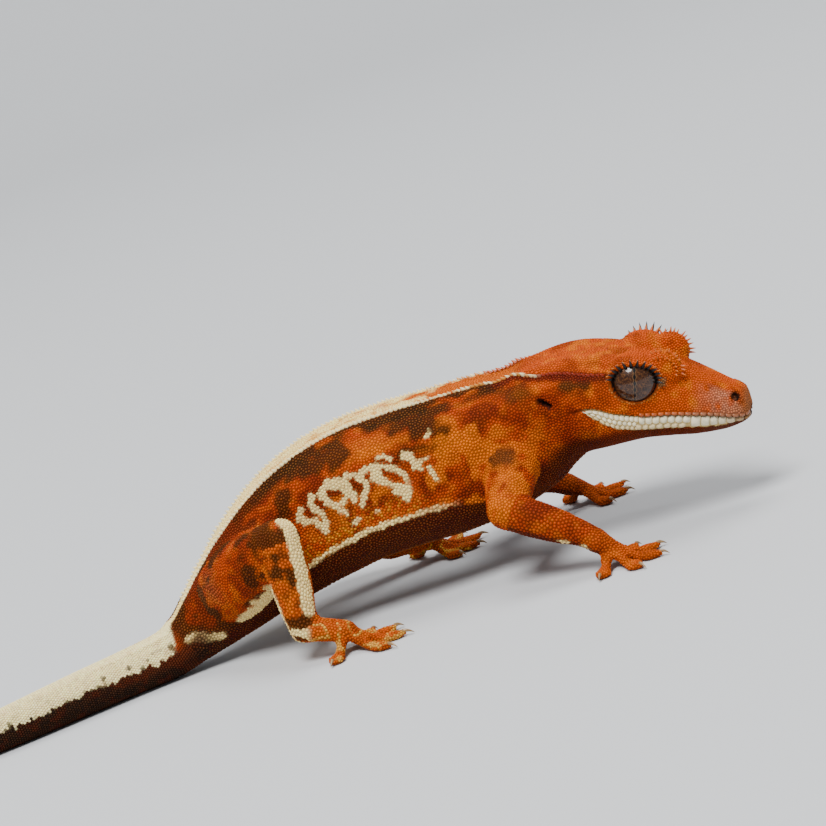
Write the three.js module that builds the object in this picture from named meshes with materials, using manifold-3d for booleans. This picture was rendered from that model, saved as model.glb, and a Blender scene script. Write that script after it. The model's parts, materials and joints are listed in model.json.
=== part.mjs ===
// Crested gecko, life size, climbing pose, standing on the floor. Millimetres, +Z up.
// +X is the way it faces, +Y its left side, and z = 0 the floor that its feet and tail rest on.
import * as THREE from "three";
import { mergeVertices } from "three/addons/utils/BufferGeometryUtils.js";
import Module from "manifold-3d";

const wasm = await Module();
wasm.setup();

// Driving dimensions.
const GAP = 0.3; // thin cut between neighbouring solids
const TRUNK_SIDES = 24; // points round the head and trunk
const TAIL_SIDES = 16;
const PRESSED_FLAT = 0.22; // what comes lower than this rests on the floor as a flat
const SMOOTH_ENOUGH = 0.06; // slivers left by the cuts are merged within this
const LIMB_SIDES = 10;
const TOE_SIDES = 8;
const CREST_ANGLE = THREE.MathUtils.degToRad(27); // the back crest's place round the body, from the spine
const CREST_SPREAD = THREE.MathUtils.degToRad(9);
const EYE_RADIUS = 4.3;
const EYE_OFFSET = 5.2; // from the head's mid plane to the eyeball's centre
const EYE_HEIGHT = 4.3; // above the head's middle line
const ORBIT_RADIUS = 4.7; // flesh round the eyeball
const EYE_OPENING = 3.7; // half the width of the open eye
const BROW_LENGTH = 3.4; // half lengths of the ridge over each eye
const BROW_WIDTH = 2.3;
const BROW_HEIGHT = 3.4;
const BROW_FORWARD = 4.8; // of the eyeball's centre
const BROW_RISE = 1.5;
const BROW_INSET = 0.8;

// Stations down the body from the snout. x, y, z is the middle line; w and h are the half width and
// half height; low moves the widest level down towards the belly; flat squares the back; crest is
// the height of the back crests; roll leans the top of the head over to the right, in degrees.
const BODY = [
  { at: "snout tip", x: 53.3, y: -9.8, z: 15.6, w: 1.3, h: 1.3, low: 0, flat: 0.9, crest: 0, roll: 5 },
  { at: "lip", x: 52.7, y: -9.6, z: 15.7, w: 2.9, h: 2.6, low: 0, flat: 0.9, crest: 0, roll: 5 },
  { at: "nostril", x: 51.2, y: -9.1, z: 16.2, w: 4.0, h: 3.6, low: 0.05, flat: 0.85, crest: 0, roll: 5 },
  { at: "mid snout", x: 48.9, y: -8.3, z: 17.0, w: 5.0, h: 4.5, low: 0.12, flat: 0.8, crest: 0, roll: 5 },
  { at: "snout base", x: 46.0, y: -7.4, z: 18.3, w: 6.0, h: 5.5, low: 0.18, flat: 0.75, crest: 0, roll: 5 },
  { at: "eye front", x: 42.4, y: -6.2, z: 20.0, w: 7.1, h: 6.3, low: 0.2, flat: 0.65, crest: 0.2, roll: 5 },
  { at: "eye", x: 38.2, y: -4.8, z: 21.7, w: 8.3, h: 7.1, low: 0.2, flat: 0.55, crest: 0.4, roll: 5 },
  { at: "eye rear", x: 34.1, y: -3.5, z: 22.85, w: 9.4, h: 7.95, low: 0.16, flat: 0.46, crest: 0.5, roll: 5 },
  { at: "cheek", x: 30.6, y: -2.4, z: 23.45, w: 10.2, h: 8.35, low: 0.14, flat: 0.45, crest: 0.6, roll: 5 },
  { at: "jaw hinge", x: 27.2, y: -1.3, z: 23.75, w: 10.3, h: 8.65, low: 0.12, flat: 0.44, crest: 0.6, roll: 4 },
  { at: "nape", x: 24.0, y: -0.5, z: 23.35, w: 9.5, h: 8.85, low: 0.1, flat: 0.42, crest: 0.7, roll: 3 },
  { at: "neck", x: 20.4, y: 0.1, z: 22.35, w: 8.9, h: 9.55, low: 0.1, flat: 0.4, crest: 0.8, roll: 2 },
  { at: "shoulder", x: 15.8, y: 0.5, z: 20.95, w: 9.2, h: 10.75, low: 0.12, flat: 0.4, crest: 0.8, roll: 1 },
  { at: "chest", x: 9.8, y: 0.8, z: 20.25, w: 9.8, h: 11.65, low: 0.16, flat: 0.4, crest: 0.8, roll: 0 },
  { at: "ribs", x: 3.0, y: 1.0, z: 20.05, w: 10.4, h: 12.05, low: 0.2, flat: 0.4, crest: 0.7, roll: 0 },
  { at: "flank", x: -5.0, y: 1.1, z: 20.35, w: 10.8, h: 12.05, low: 0.22, flat: 0.4, crest: 0.7, roll: 0 },
  { at: "waist", x: -12.8, y: 1.0, z: 20.15, w: 10.5, h: 11.95, low: 0.2, flat: 0.4, crest: 0.6, roll: 0 },
  { at: "loin", x: -20.0, y: 0.9, z: 18.65, w: 9.8, h: 11.55, low: 0.16, flat: 0.42, crest: 0.6, roll: 0 },
  { at: "hip front", x: -26.5, y: 0.8, z: 16.35, w: 9.0, h: 10.55, low: 0.1, flat: 0.46, crest: 0.6, roll: 0 },
  { at: "hip", x: -32.6, y: 0.6, z: 13.6, w: 8.1, h: 9.2, low: 0.05, flat: 0.54, crest: 0.5, roll: 0 },
  { at: "hip rear", x: -38.4, y: 0.4, z: 10.4, w: 7.1, h: 7.6, low: 0, flat: 0.62, crest: 0.5, roll: 0 },
  { at: "vent", x: -43.2, y: 0.1, z: 7.75, w: 6.0, h: 6.05, low: 0, flat: 0.7, crest: 0.5, roll: 0 },
  { at: "tail root", x: -47.2, y: -0.3, z: 5.7, w: 4.9, h: 4.8, low: 0, flat: 0.8, crest: 0.4, roll: 0 },
  { at: "tail base", x: -51.4, y: -1.0, z: 4.2, w: 4.3, h: 4.15, low: 0, flat: 0.85, crest: 0.3, roll: 0 },
  { at: "tail 1", x: -58.5, y: -2.6, z: 3.75, w: 4.2, h: 3.9, low: 0, flat: 0.9, crest: 0.2, roll: 0 },
  { at: "tail 2", x: -68.0, y: -5.6, z: 3.6, w: 4.0, h: 3.75, low: 0, flat: 0.9, crest: 0.1, roll: 0 },
  { at: "tail 3", x: -80.0, y: -9.4, z: 3.3, w: 3.6, h: 3.45, low: 0, flat: 0.9, crest: 0, roll: 0 },
  { at: "tail 4", x: -93.0, y: -12.4, z: 2.8, w: 3.1, h: 2.95, low: 0, flat: 0.9, crest: 0, roll: 0 },
  { at: "tail 5", x: -107.0, y: -13.8, z: 2.15, w: 2.4, h: 2.3, low: 0, flat: 0.9, crest: 0, roll: 0 },
  { at: "tail 6", x: -120.0, y: -13.0, z: 1.5, w: 1.7, h: 1.65, low: 0, flat: 0.9, crest: 0, roll: 0 },
  { at: "pad neck", x: -128.0, y: -11.6, z: 1.0, w: 1.5, h: 1.1, low: 0, flat: 0.9, crest: 0, roll: 0 },
  { at: "tail pad", x: -132.0, y: -10.7, z: 0.75, w: 2.0, h: 0.85, low: 0, flat: 0.9, crest: 0, roll: 0 },
  { at: "tail end", x: -134.6, y: -10.0, z: 0.6, w: 0.9, h: 0.6, low: 0, flat: 0.9, crest: 0, roll: 0 },
];

// How far the mouth lies below the middle line, from the snout tip back to its corner.
const MOUTH = [-1.0, -1.3, -1.15, -0.75, -0.75, -0.95, -1.25, -0.5, 1.0, 0.8];
const MOUTH_CORNER = 9.25; // station number

// The sections between which each length of the body runs, in station numbers.
const BODY_NODES = [
  { name: "neck", from: 10.3, to: 12.3, rings: 4 },
  { name: "chest", from: 12.3, to: 14.6, rings: 4 },
  { name: "belly", from: 14.6, to: 17.4, rings: 5 },
  { name: "pelvis", from: 17.4, to: 22.0, rings: 8 },
  { name: "tail_root", from: 22.0, to: 25.0, rings: 6 },
  { name: "tail_middle", from: 25.0, to: 27.0, rings: 5 },
  { name: "tail_rear", from: 27.0, to: 29.5, rings: 5 },
  { name: "tail_tip", from: 29.5, to: 32.0, rings: 7 },
];
const HEAD_END = 10.3;
const TAIL_START = 22;

// Limbs. side is -1 for the right, which stands nearest the viewer, and 1 for the left.
const LIMBS = [
  {
    name: "front_right", side: -1, front: true, heading: -12,
    root: [13.6, -5.0, 18.6], bend: [9.3, -16.6, 13.3], wrist: [19.8, -20.4, 6.6], palm: [23.0, -21.2, 3.5],
  },
  {
    name: "front_left", side: 1, front: true, heading: -8,
    root: [14.6, 5.6, 18.6], bend: [8.4, 17.0, 12.6], wrist: [19.8, 20.8, 6.0], palm: [23.4, 21.6, 3.4],
  },
  {
    name: "hind_right", side: -1, front: false, heading: -6,
    root: [-37.6, -3.2, 12.4], bend: [-27.2, -13.8, 20.0], wrist: [-28.0, -18.2, 5.6], palm: [-21.8, -19.4, 3.6],
  },
  {
    name: "hind_left", side: 1, front: false, heading: -10,
    root: [-37.6, 4.0, 12.4], bend: [-23.4, 15.4, 14.8], wrist: [-11.2, 17.6, 5.0], palm: [-4.6, 19.2, 3.4],
  },
];
// Radii of a limb's upper length, lower length and foot, at the start, middle and end of each.
const FRONT_GIRTH = { upper: [4.6, 4.2, 3.6], lower: [3.4, 3.1, 2.5], foot: [2.4, 2.9, 2.2] };
const HIND_GIRTH = { upper: [6.2, 5.6, 3.9], lower: [3.8, 3.5, 2.7], foot: [2.8, 2.7, 2.4] };
// Toes: angle outwards from the foot's heading in degrees, and length from the palm's centre, in mm.
const FRONT_TOES = [
  { turn: -58, length: 8.2 },
  { turn: -22, length: 9.6 },
  { turn: 14, length: 10.0 },
  { turn: 50, length: 9.4 },
  { turn: 104, length: 7.6 },
];
const HIND_TOES = [
  { turn: -56, length: 8.0 },
  { turn: -24, length: 10.0 },
  { turn: 8, length: 11.2 },
  { turn: 40, length: 11.0 },
  { turn: 112, length: 7.6 },
];
const TOE_START = 1.6; // from the palm's centre
// A toe's middle line height, half width and half thickness from its root to its claw.
const TOE = [
  { z: 2.5, w: 1.25, h: 1.25 },
  { z: 1.75, w: 0.95, h: 1.0 },
  { z: 1.05, w: 0.9, h: 0.9 },
  { z: 0.72, w: 1.2, h: 0.75 },
  { z: 0.66, w: 1.6, h: 0.72 },
  { z: 0.62, w: 1.3, h: 0.65 },
  { z: 0.75, w: 0.4, h: 0.45 },
  { z: 0.4, w: 0.2, h: 0.25 },
];

const FLESH = { colour: 0xb8560f, roughness: 0.75 };
const CREAM = { colour: 0xe6dcae, roughness: 0.75 };
const JAW = { colour: 0xcdbf96, roughness: 0.7 };
const EYE = { colour: 0x3a2a22, roughness: 0.1 };

// Catmull-Rom value at place t in a list of numbers.
function through(values, t) {
  const last = values.length - 1;
  const i = Math.min(Math.max(Math.floor(t), 0), last - 1);
  const u = t - i;
  const [p0, p1, p2, p3] = [i - 1, i, i + 1, i + 2].map((k) => values[Math.min(Math.max(k, 0), last)]);
  const slope1 = (p2 - p0) / 2;
  const slope2 = (p3 - p1) / 2;
  return (
    p1 * (1 - 3 * u * u + 2 * u ** 3) +
    slope1 * (u - 2 * u * u + u ** 3) +
    p2 * (3 * u * u - 2 * u ** 3) +
    slope2 * (u ** 3 - u * u)
  );
}

const field = (list, key, t) => through(list.map((row) => row[key]), t);
const signedPower = (v, p) => Math.sign(v) * Math.abs(v) ** p;

// Centre and axes of the body's section at station number t.
function bodyFrame(t) {
  const place = (s) => new THREE.Vector3(field(BODY, "x", s), field(BODY, "y", s), field(BODY, "z", s));
  const step = 0.05;
  const forward = place(t - step).sub(place(t + step)).normalize();
  const left = new THREE.Vector3(0, 0, 1).cross(forward).normalize();
  const roll = THREE.MathUtils.degToRad(field(BODY, "roll", t));
  left.applyAxisAngle(forward, roll);
  return { centre: place(t), forward, left, up: forward.clone().cross(left) };
}

// Offset to the left and upwards of the skin at station t and angle round from the spine.
function bodySection(t, angle, grow) {
  const row = (key) => field(BODY, key, t);
  const c = Math.cos(angle);
  const s = Math.sin(angle);
  const squareness = c > 0 ? row("flat") : 0.9;
  const crestTurn = (Math.abs(Math.atan2(s, c)) - CREST_ANGLE) / CREST_SPREAD;
  const crest = row("crest") * Math.exp(-crestTurn * crestTurn);
  const side = (row("w") + grow) * signedPower(s, 0.88) * (1 - row("low") * c);
  const height = (row("h") + grow) * signedPower(c, squareness);
  return [side + crest * s, height + crest * 0.8];
}

// A closed tube: a cylinder whose rings are moved to where place(ring, angle) says.
function tube(rings, sides, place) {
  const shape = new THREE.CylinderGeometry(1, 1, 1, sides, rings.length - 1);
  const at = shape.getAttribute("position");
  for (let i = 0; i < at.count; i++) {
    const ring = Math.round((0.5 - at.getY(i)) * (rings.length - 1));
    const onAxis = Math.hypot(at.getX(i), at.getZ(i)) < 0.5;
    const angle = Math.atan2(at.getX(i), at.getZ(i));
    const point = onAxis ? middleOf(rings[ring], sides, place) : place(rings[ring], angle);
    at.setXYZ(i, point.x, point.y, point.z < PRESSED_FLAT ? 0 : point.z);
  }
  return solid(shape);
}

function middleOf(ring, sides, place) {
  const sum = new THREE.Vector3();
  for (let k = 0; k < sides; k++) sum.add(place(ring, (2 * Math.PI * k) / sides));
  return sum.divideScalar(sides);
}

// A closed three.js geometry as a solid that can be cut and joined, turned the right way out.
function solid(shape) {
  const bare = shape.clone();
  bare.deleteAttribute("normal");
  bare.deleteAttribute("uv");
  const merged = mergeVertices(bare, 1e-3);
  const triVerts = new Uint32Array(merged.index.array);
  const made = () =>
    new wasm.Manifold(
      new wasm.Mesh({ numProp: 3, vertProperties: merged.getAttribute("position").array, triVerts }),
    );
  if (made().volume() < 0) {
    for (let i = 0; i < triVerts.length; i += 3) {
      [triVerts[i + 1], triVerts[i + 2]] = [triVerts[i + 2], triVerts[i + 1]];
    }
  }
  return made();
}

const steps = (from, to, count) =>
  Array.from({ length: count }, (_, i) => from + ((to - from) * i) / (count - 1));

function bodyLength(from, to, count, grow = 0, clip = (t, height) => height) {
  const sides = from < TAIL_START ? TRUNK_SIDES : TAIL_SIDES;
  return tube(steps(from, to, count), sides, (t, angle) => {
    const frame = bodyFrame(t);
    const [side, height] = bodySection(t, angle, grow);
    return frame.centre.addScaledVector(frame.left, side).addScaledVector(frame.up, clip(t, height));
  });
}

// How much of a station number a thin cut takes at station t.
function cutShare(t) {
  const frames = [bodyFrame(t - 0.5), bodyFrame(t + 0.5)];
  return GAP / 2 / frames[0].centre.distanceTo(frames[1].centre);
}

// A tube of round or oval section along points, with a rounded start and end.
function limbLength(points, girth, grow, flatten = 1) {
  const curve = new THREE.CatmullRomCurve3(points.map((p) => new THREE.Vector3(...p)));
  const length = curve.getLength();
  const start = girth[0] + grow;
  const end = girth[girth.length - 1] + grow;
  // Rounded ends: u runs past the curve's ends by the end radius.
  const rings = [-0.96, -0.7, 0, 0.5, 1, 1.7, 1.96];
  return tube(rings, LIMB_SIDES, (u, angle) => {
    const within = Math.min(Math.max(u, 0), 1);
    const past = u < 0 ? -u : Math.max(u - 1, 0);
    const radius = (through(girth, within * (girth.length - 1)) + grow) * Math.sqrt(1 - past * past);
    const tangent = curve.getTangentAt(within);
    const side = new THREE.Vector3(0, 0, 1).cross(tangent).normalize();
    const up = tangent.clone().cross(side);
    const reach = u < 0 ? -past * start : past * end;
    return curve
      .getPointAt(within)
      .addScaledVector(tangent, Math.min(reach, length))
      .addScaledVector(side, radius * Math.sin(angle))
      .addScaledVector(up, radius * flatten * Math.cos(angle));
  });
}

// One toe, from the palm out along the floor, ending in its claw.
function toeLength(limb, toe, grow) {
  const turn = THREE.MathUtils.degToRad(limb.heading * -limb.side + toe.turn * limb.side);
  const along = new THREE.Vector3(Math.cos(turn), Math.sin(turn), 0);
  const across = new THREE.Vector3(-along.y, along.x, 0);
  const palm = new THREE.Vector3(limb.palm[0], limb.palm[1], 0);
  const rings = [0, 1.4, 2.8, 4, 5.3, 7];
  return tube(rings, TOE_SIDES, (t, angle) => {
    const reach = TOE_START + ((toe.length - TOE_START) * t) / (TOE.length - 1);
    return palm
      .clone()
      .addScaledVector(along, reach)
      .addScaledVector(across, (field(TOE, "w", t) + grow) * Math.sin(angle))
      .setZ(field(TOE, "z", t) + (field(TOE, "h", t) + grow) * Math.cos(angle));
  });
}

function carve(shape, neighbours) {
  const left = neighbours.reduce((rest, n) => rest.subtract(n), shape);
  return left.decompose().reduce((most, piece) => (piece.volume() > most.volume() ? piece : most));
}

// The eyeball's centre on one side, its outward direction and a matrix for shapes set round it.
function eyePlace(side) {
  const frame = bodyFrame(6.35);
  const outward = frame.left.clone().multiplyScalar(side).addScaledVector(frame.forward, 0.2);
  outward.addScaledVector(frame.up, 0.12).normalize();
  const centre = frame.centre.clone().addScaledVector(frame.left, EYE_OFFSET * side);
  centre.addScaledVector(frame.up, EYE_HEIGHT);
  return { centre, outward, frame };
}

function ballAt(centre, radius, turned = new THREE.Quaternion(), stretch = [1, 1, 1]) {
  const ball = new THREE.SphereGeometry(radius, 12, 9);
  ball.scale(...stretch);
  ball.applyQuaternion(turned);
  ball.translate(centre.x, centre.y, centre.z);
  return solid(ball);
}

// The ridge over the front of an eye, an ellipsoid that drops steeply to the snout.
function brow(side) {
  const { centre, frame } = eyePlace(side);
  const turned = new THREE.Quaternion().setFromRotationMatrix(
    new THREE.Matrix4().makeBasis(frame.forward, frame.left, frame.up),
  );
  const top = centre.clone().addScaledVector(frame.up, BROW_RISE);
  top.addScaledVector(frame.forward, BROW_FORWARD).addScaledVector(frame.left, -BROW_INSET * side);
  return ballAt(top, 1, turned, [BROW_LENGTH, BROW_WIDTH, BROW_HEIGHT]);
}

// The hole that shows the eyeball through the flesh round it.
function eyeOpening(side) {
  const { centre, outward } = eyePlace(side);
  const depth = 8;
  const shaft = new THREE.CylinderGeometry(EYE_OPENING + 0.9, EYE_OPENING - 0.9, depth, 12);
  shaft.applyQuaternion(new THREE.Quaternion().setFromUnitVectors(new THREE.Vector3(0, 1, 0), outward));
  const middle = centre.clone().addScaledVector(outward, depth / 2 + 1.4);
  shaft.translate(middle.x, middle.y, middle.z);
  return solid(shaft);
}

function mouthLevel(t) {
  return through(MOUTH, t);
}

function headSolid() {
  const end = HEAD_END - cutShare(HEAD_END);
  const clip = (t, height) => (t < MOUTH_CORNER ? Math.max(height, mouthLevel(t) + GAP / 2) : height);
  let head = bodyLength(0, end, 18, 0, clip);
  for (const side of [-1, 1]) {
    const { centre } = eyePlace(side);
    head = head.add(ballAt(centre, ORBIT_RADIUS)).add(brow(side));
  }
  for (const side of [-1, 1]) {
    const { centre } = eyePlace(side);
    head = head.subtract(ballAt(centre, EYE_RADIUS + GAP)).subtract(eyeOpening(side));
  }
  return carve(head, []);
}

function jawSolid(head) {
  const clip = (t, height) => Math.min(height, mouthLevel(t) - GAP / 2);
  const jaw = bodyLength(0.25, MOUTH_CORNER - 0.35, 13, 0, clip);
  return carve(jaw, [head]);
}

const gecko = new THREE.Group();
gecko.name = "crested_gecko";

function addMesh(name, shape, finish) {
  const mesh = shape.simplify(SMOOTH_ENOUGH).getMesh();
  const count = mesh.numProp;
  const points = new Float32Array(mesh.numVert * 3);
  for (let i = 0; i < mesh.numVert; i++) {
    points.set(mesh.vertProperties.subarray(i * count, i * count + 3), i * 3);
  }
  const geometry = new THREE.BufferGeometry();
  geometry.setAttribute("position", new THREE.BufferAttribute(points, 3));
  geometry.setIndex(new THREE.BufferAttribute(mesh.triVerts, 1));
  geometry.computeVertexNormals();
  const material = new THREE.MeshStandardMaterial({
    color: finish.colour,
    roughness: finish.roughness,
    metalness: 0,
  });
  const made = new THREE.Mesh(geometry, material);
  made.name = name;
  gecko.add(made);
}

function addHead() {
  const head = headSolid();
  addMesh("head", head, FLESH);
  addMesh("lower_jaw", jawSolid(head), JAW);
  addMesh("eye_right", ballAt(eyePlace(-1).centre, EYE_RADIUS), EYE);
  addMesh("eye_left", ballAt(eyePlace(1).centre, EYE_RADIUS), EYE);
}

function addBody() {
  for (const { name, from, to, rings } of BODY_NODES) {
    const first = from + cutShare(from);
    const last = to < BODY.length - 1 ? to - cutShare(to) : to;
    addMesh(name, bodyLength(first, last, rings), name.startsWith("tail") ? CREAM : FLESH);
  }
}

function addLimb(limb, trunk) {
  const girth = limb.front ? FRONT_GIRTH : HIND_GIRTH;
  const toes = limb.front ? FRONT_TOES : HIND_TOES;
  const upper = (grow) => limbLength([limb.root, limb.bend], girth.upper, grow);
  const lower = (grow) => limbLength([limb.bend, limb.wrist], girth.lower, grow);
  const foot = (grow) => limbLength([limb.wrist, limb.palm], girth.foot, grow, 0.72);
  const [upperName, lowerName, footName] = limb.front
    ? ["upper_arm", "forearm", "hand"]
    : ["thigh", "shin", "foot"];
  addMesh(`${upperName}_${limb.name}`, carve(upper(0), [trunk]), FLESH);
  addMesh(`${lowerName}_${limb.name}`, carve(lower(0), [trunk, upper(GAP)]), FLESH);
  addMesh(`${footName}_${limb.name}`, carve(foot(0), [lower(GAP), upper(GAP)]), FLESH);
  toes.forEach((toe, i) => {
    const before = i > 0 ? [toeLength(limb, toes[i - 1], GAP)] : [];
    const shape = carve(toeLength(limb, toe, 0), [foot(GAP), lower(GAP), ...before]);
    addMesh(`toe_${i + 1}_${limb.name}`, shape, FLESH);
  });
}

addHead();
addBody();
const trunkWithClearance = bodyLength(9, BODY.length - 1, 70, GAP);
for (const limb of LIMBS) addLimb(limb, trunkWithClearance);

// The origin is on the floor below the middle of the whole.
const whole = new THREE.Box3().setFromObject(gecko);
const middle = whole.getCenter(new THREE.Vector3());
gecko.position.set(-middle.x, -middle.y, -whole.min.z);

export default gecko;
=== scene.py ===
"""Looks of a life-size crested gecko: its skin, scales, crests, lips, claws and eyes, and a stage.

The body's stations and limbs are those of the part's solids, in millimetres, and every surface here is
worked out from them.
"""

import sys

import json
import math

import bmesh
import bpy
import numpy as np
from mathutils import Matrix, Vector
from mathutils.bvhtree import BVHTree
from mathutils.kdtree import KDTree
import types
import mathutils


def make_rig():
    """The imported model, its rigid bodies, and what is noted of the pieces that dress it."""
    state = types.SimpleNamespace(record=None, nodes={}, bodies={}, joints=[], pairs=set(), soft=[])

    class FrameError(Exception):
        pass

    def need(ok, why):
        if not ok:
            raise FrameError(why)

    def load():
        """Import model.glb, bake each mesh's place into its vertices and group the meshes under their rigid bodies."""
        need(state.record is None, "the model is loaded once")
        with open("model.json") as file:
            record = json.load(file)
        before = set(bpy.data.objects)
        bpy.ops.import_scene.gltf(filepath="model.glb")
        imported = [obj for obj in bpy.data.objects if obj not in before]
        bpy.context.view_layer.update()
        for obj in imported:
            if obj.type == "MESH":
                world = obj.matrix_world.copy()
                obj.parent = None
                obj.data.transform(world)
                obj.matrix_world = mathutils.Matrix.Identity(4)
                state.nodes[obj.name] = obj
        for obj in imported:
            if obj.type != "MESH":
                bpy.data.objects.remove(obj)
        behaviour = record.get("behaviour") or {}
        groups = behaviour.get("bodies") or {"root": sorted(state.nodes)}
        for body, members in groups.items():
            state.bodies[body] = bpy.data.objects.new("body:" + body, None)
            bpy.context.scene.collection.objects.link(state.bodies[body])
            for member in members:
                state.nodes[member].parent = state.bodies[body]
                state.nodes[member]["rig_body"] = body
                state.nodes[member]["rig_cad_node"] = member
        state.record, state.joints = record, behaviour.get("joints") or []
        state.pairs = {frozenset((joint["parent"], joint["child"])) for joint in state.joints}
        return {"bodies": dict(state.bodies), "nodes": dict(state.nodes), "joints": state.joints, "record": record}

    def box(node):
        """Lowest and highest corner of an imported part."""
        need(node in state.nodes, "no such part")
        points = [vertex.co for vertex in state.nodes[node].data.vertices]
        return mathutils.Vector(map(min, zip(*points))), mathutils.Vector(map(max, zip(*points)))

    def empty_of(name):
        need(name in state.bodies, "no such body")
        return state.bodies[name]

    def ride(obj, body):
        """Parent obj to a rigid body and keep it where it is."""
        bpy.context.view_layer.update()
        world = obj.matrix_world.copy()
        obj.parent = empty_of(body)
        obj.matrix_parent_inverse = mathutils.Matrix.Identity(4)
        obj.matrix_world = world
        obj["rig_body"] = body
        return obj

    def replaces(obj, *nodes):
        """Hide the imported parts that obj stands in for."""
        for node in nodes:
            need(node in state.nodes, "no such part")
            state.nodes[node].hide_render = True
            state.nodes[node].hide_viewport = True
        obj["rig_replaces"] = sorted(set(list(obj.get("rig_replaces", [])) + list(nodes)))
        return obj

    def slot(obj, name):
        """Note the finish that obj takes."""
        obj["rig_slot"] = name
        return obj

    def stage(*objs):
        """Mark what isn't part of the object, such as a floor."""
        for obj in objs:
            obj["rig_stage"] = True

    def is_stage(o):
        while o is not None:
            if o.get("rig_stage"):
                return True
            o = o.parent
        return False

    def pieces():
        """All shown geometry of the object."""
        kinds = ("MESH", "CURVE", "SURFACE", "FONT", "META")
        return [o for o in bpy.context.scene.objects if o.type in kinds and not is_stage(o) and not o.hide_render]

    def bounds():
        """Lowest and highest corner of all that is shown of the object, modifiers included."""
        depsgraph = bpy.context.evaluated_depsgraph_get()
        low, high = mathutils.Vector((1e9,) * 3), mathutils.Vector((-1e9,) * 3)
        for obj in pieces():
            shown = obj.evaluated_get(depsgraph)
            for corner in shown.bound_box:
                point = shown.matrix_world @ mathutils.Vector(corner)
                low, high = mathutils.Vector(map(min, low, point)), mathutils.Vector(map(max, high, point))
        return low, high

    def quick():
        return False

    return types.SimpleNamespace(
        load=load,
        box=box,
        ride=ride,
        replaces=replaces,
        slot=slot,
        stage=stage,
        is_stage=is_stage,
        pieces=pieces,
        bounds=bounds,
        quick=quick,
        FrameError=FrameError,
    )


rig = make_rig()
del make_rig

bl_info = {
    "name": "Crested gecko",
    "version": (1, 0, 0),
    "blender": (4, 5, 0),
    "location": "3D View > Sidebar > Gecko",
    "description": "Builds the skin, scales, eyes and stage of a life-size crested gecko",
    "category": "Object",
}

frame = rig.load()
CAD_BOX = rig.bounds()
MM = 0.001
SEED = 7
PATCH = 0.003  # width of a scale's place on the unwrap
TAIL_ROWS_START = 22.3  # station behind which scales ring the tail
SKY_STRENGTH = 0.38
BODY_PITCH = 0.46  # usual spacing of the scales

# Stations down the body from the snout: middle line x, y, z; half width and half height; how far the
# widest level lies below the middle; squareness of the back; height of the back crests; lean in degrees.
STATIONS = np.array([
    [53.3, -9.8, 15.6, 1.3, 1.3, 0, 0.9, 0, 5],  # 0 snout tip
    [52.7, -9.6, 15.7, 2.9, 2.6, 0, 0.9, 0, 5],
    [51.2, -9.1, 16.2, 4.0, 3.6, 0.05, 0.85, 0, 5],  # 2 nostril
    [48.9, -8.3, 17.0, 5.0, 4.5, 0.12, 0.8, 0, 5],
    [46.0, -7.4, 18.3, 6.0, 5.5, 0.18, 0.75, 0, 5],
    [42.4, -6.2, 20.0, 7.1, 6.3, 0.2, 0.65, 0.2, 5],
    [38.2, -4.8, 21.7, 8.3, 7.1, 0.2, 0.55, 0.4, 5],  # 6 eye
    [34.1, -3.5, 22.85, 9.4, 7.95, 0.16, 0.46, 0.5, 5],
    [30.6, -2.4, 23.45, 10.2, 8.35, 0.14, 0.45, 0.6, 5],  # 8 cheek
    [27.2, -1.3, 23.75, 10.3, 8.65, 0.12, 0.44, 0.6, 4],
    [24.0, -0.5, 23.35, 9.5, 8.85, 0.1, 0.42, 0.7, 3],  # 10 nape
    [20.4, 0.1, 22.35, 8.9, 9.55, 0.1, 0.4, 0.8, 2],
    [15.8, 0.5, 20.95, 9.2, 10.75, 0.12, 0.4, 0.8, 1],  # 12 shoulder
    [9.8, 0.8, 20.25, 9.8, 11.65, 0.16, 0.4, 0.8, 0],
    [3.0, 1.0, 20.05, 10.4, 12.05, 0.2, 0.4, 0.7, 0],
    [-5.0, 1.1, 20.35, 10.8, 12.05, 0.22, 0.4, 0.7, 0],  # 15 flank
    [-12.8, 1.0, 20.15, 10.5, 11.95, 0.2, 0.4, 0.6, 0],
    [-20.0, 0.9, 18.65, 9.8, 11.55, 0.16, 0.42, 0.6, 0],
    [-26.5, 0.8, 16.35, 9.0, 10.55, 0.1, 0.46, 0.6, 0],  # 18 hip front
    [-32.6, 0.6, 13.6, 8.1, 9.2, 0.05, 0.54, 0.5, 0],
    [-38.4, 0.4, 10.4, 7.1, 7.6, 0, 0.62, 0.5, 0],
    [-43.2, 0.1, 7.75, 6.0, 6.05, 0, 0.7, 0.5, 0],  # 21 vent
    [-47.2, -0.3, 5.7, 4.9, 4.8, 0, 0.8, 0.4, 0],
    [-51.4, -1.0, 4.2, 4.3, 4.15, 0, 0.85, 0.3, 0],  # 23 tail base
    [-58.5, -2.6, 3.75, 4.2, 3.9, 0, 0.9, 0.2, 0],
    [-68.0, -5.6, 3.6, 4.0, 3.75, 0, 0.9, 0.1, 0],
    [-80.0, -9.4, 3.3, 3.6, 3.45, 0, 0.9, 0, 0],
    [-93.0, -12.4, 2.8, 3.1, 2.95, 0, 0.9, 0, 0],
    [-107.0, -13.8, 2.15, 2.4, 2.3, 0, 0.9, 0, 0],
    [-120.0, -13.0, 1.5, 1.7, 1.65, 0, 0.9, 0, 0],
    [-128.0, -11.6, 1.0, 1.5, 1.1, 0, 0.9, 0, 0],
    [-132.0, -10.7, 0.75, 2.0, 0.85, 0, 0.9, 0, 0],  # 31 tail pad
    [-134.6, -10.0, 0.6, 0.9, 0.6, 0, 0.9, 0, 0],
])
LAST = len(STATIONS) - 1.0
BELLY_ROUNDNESS = 0.9
SIDE_ROUNDNESS = 0.88
CREST_ANGLE = math.radians(27)
CREST_SPREAD = math.radians(9)
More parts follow.
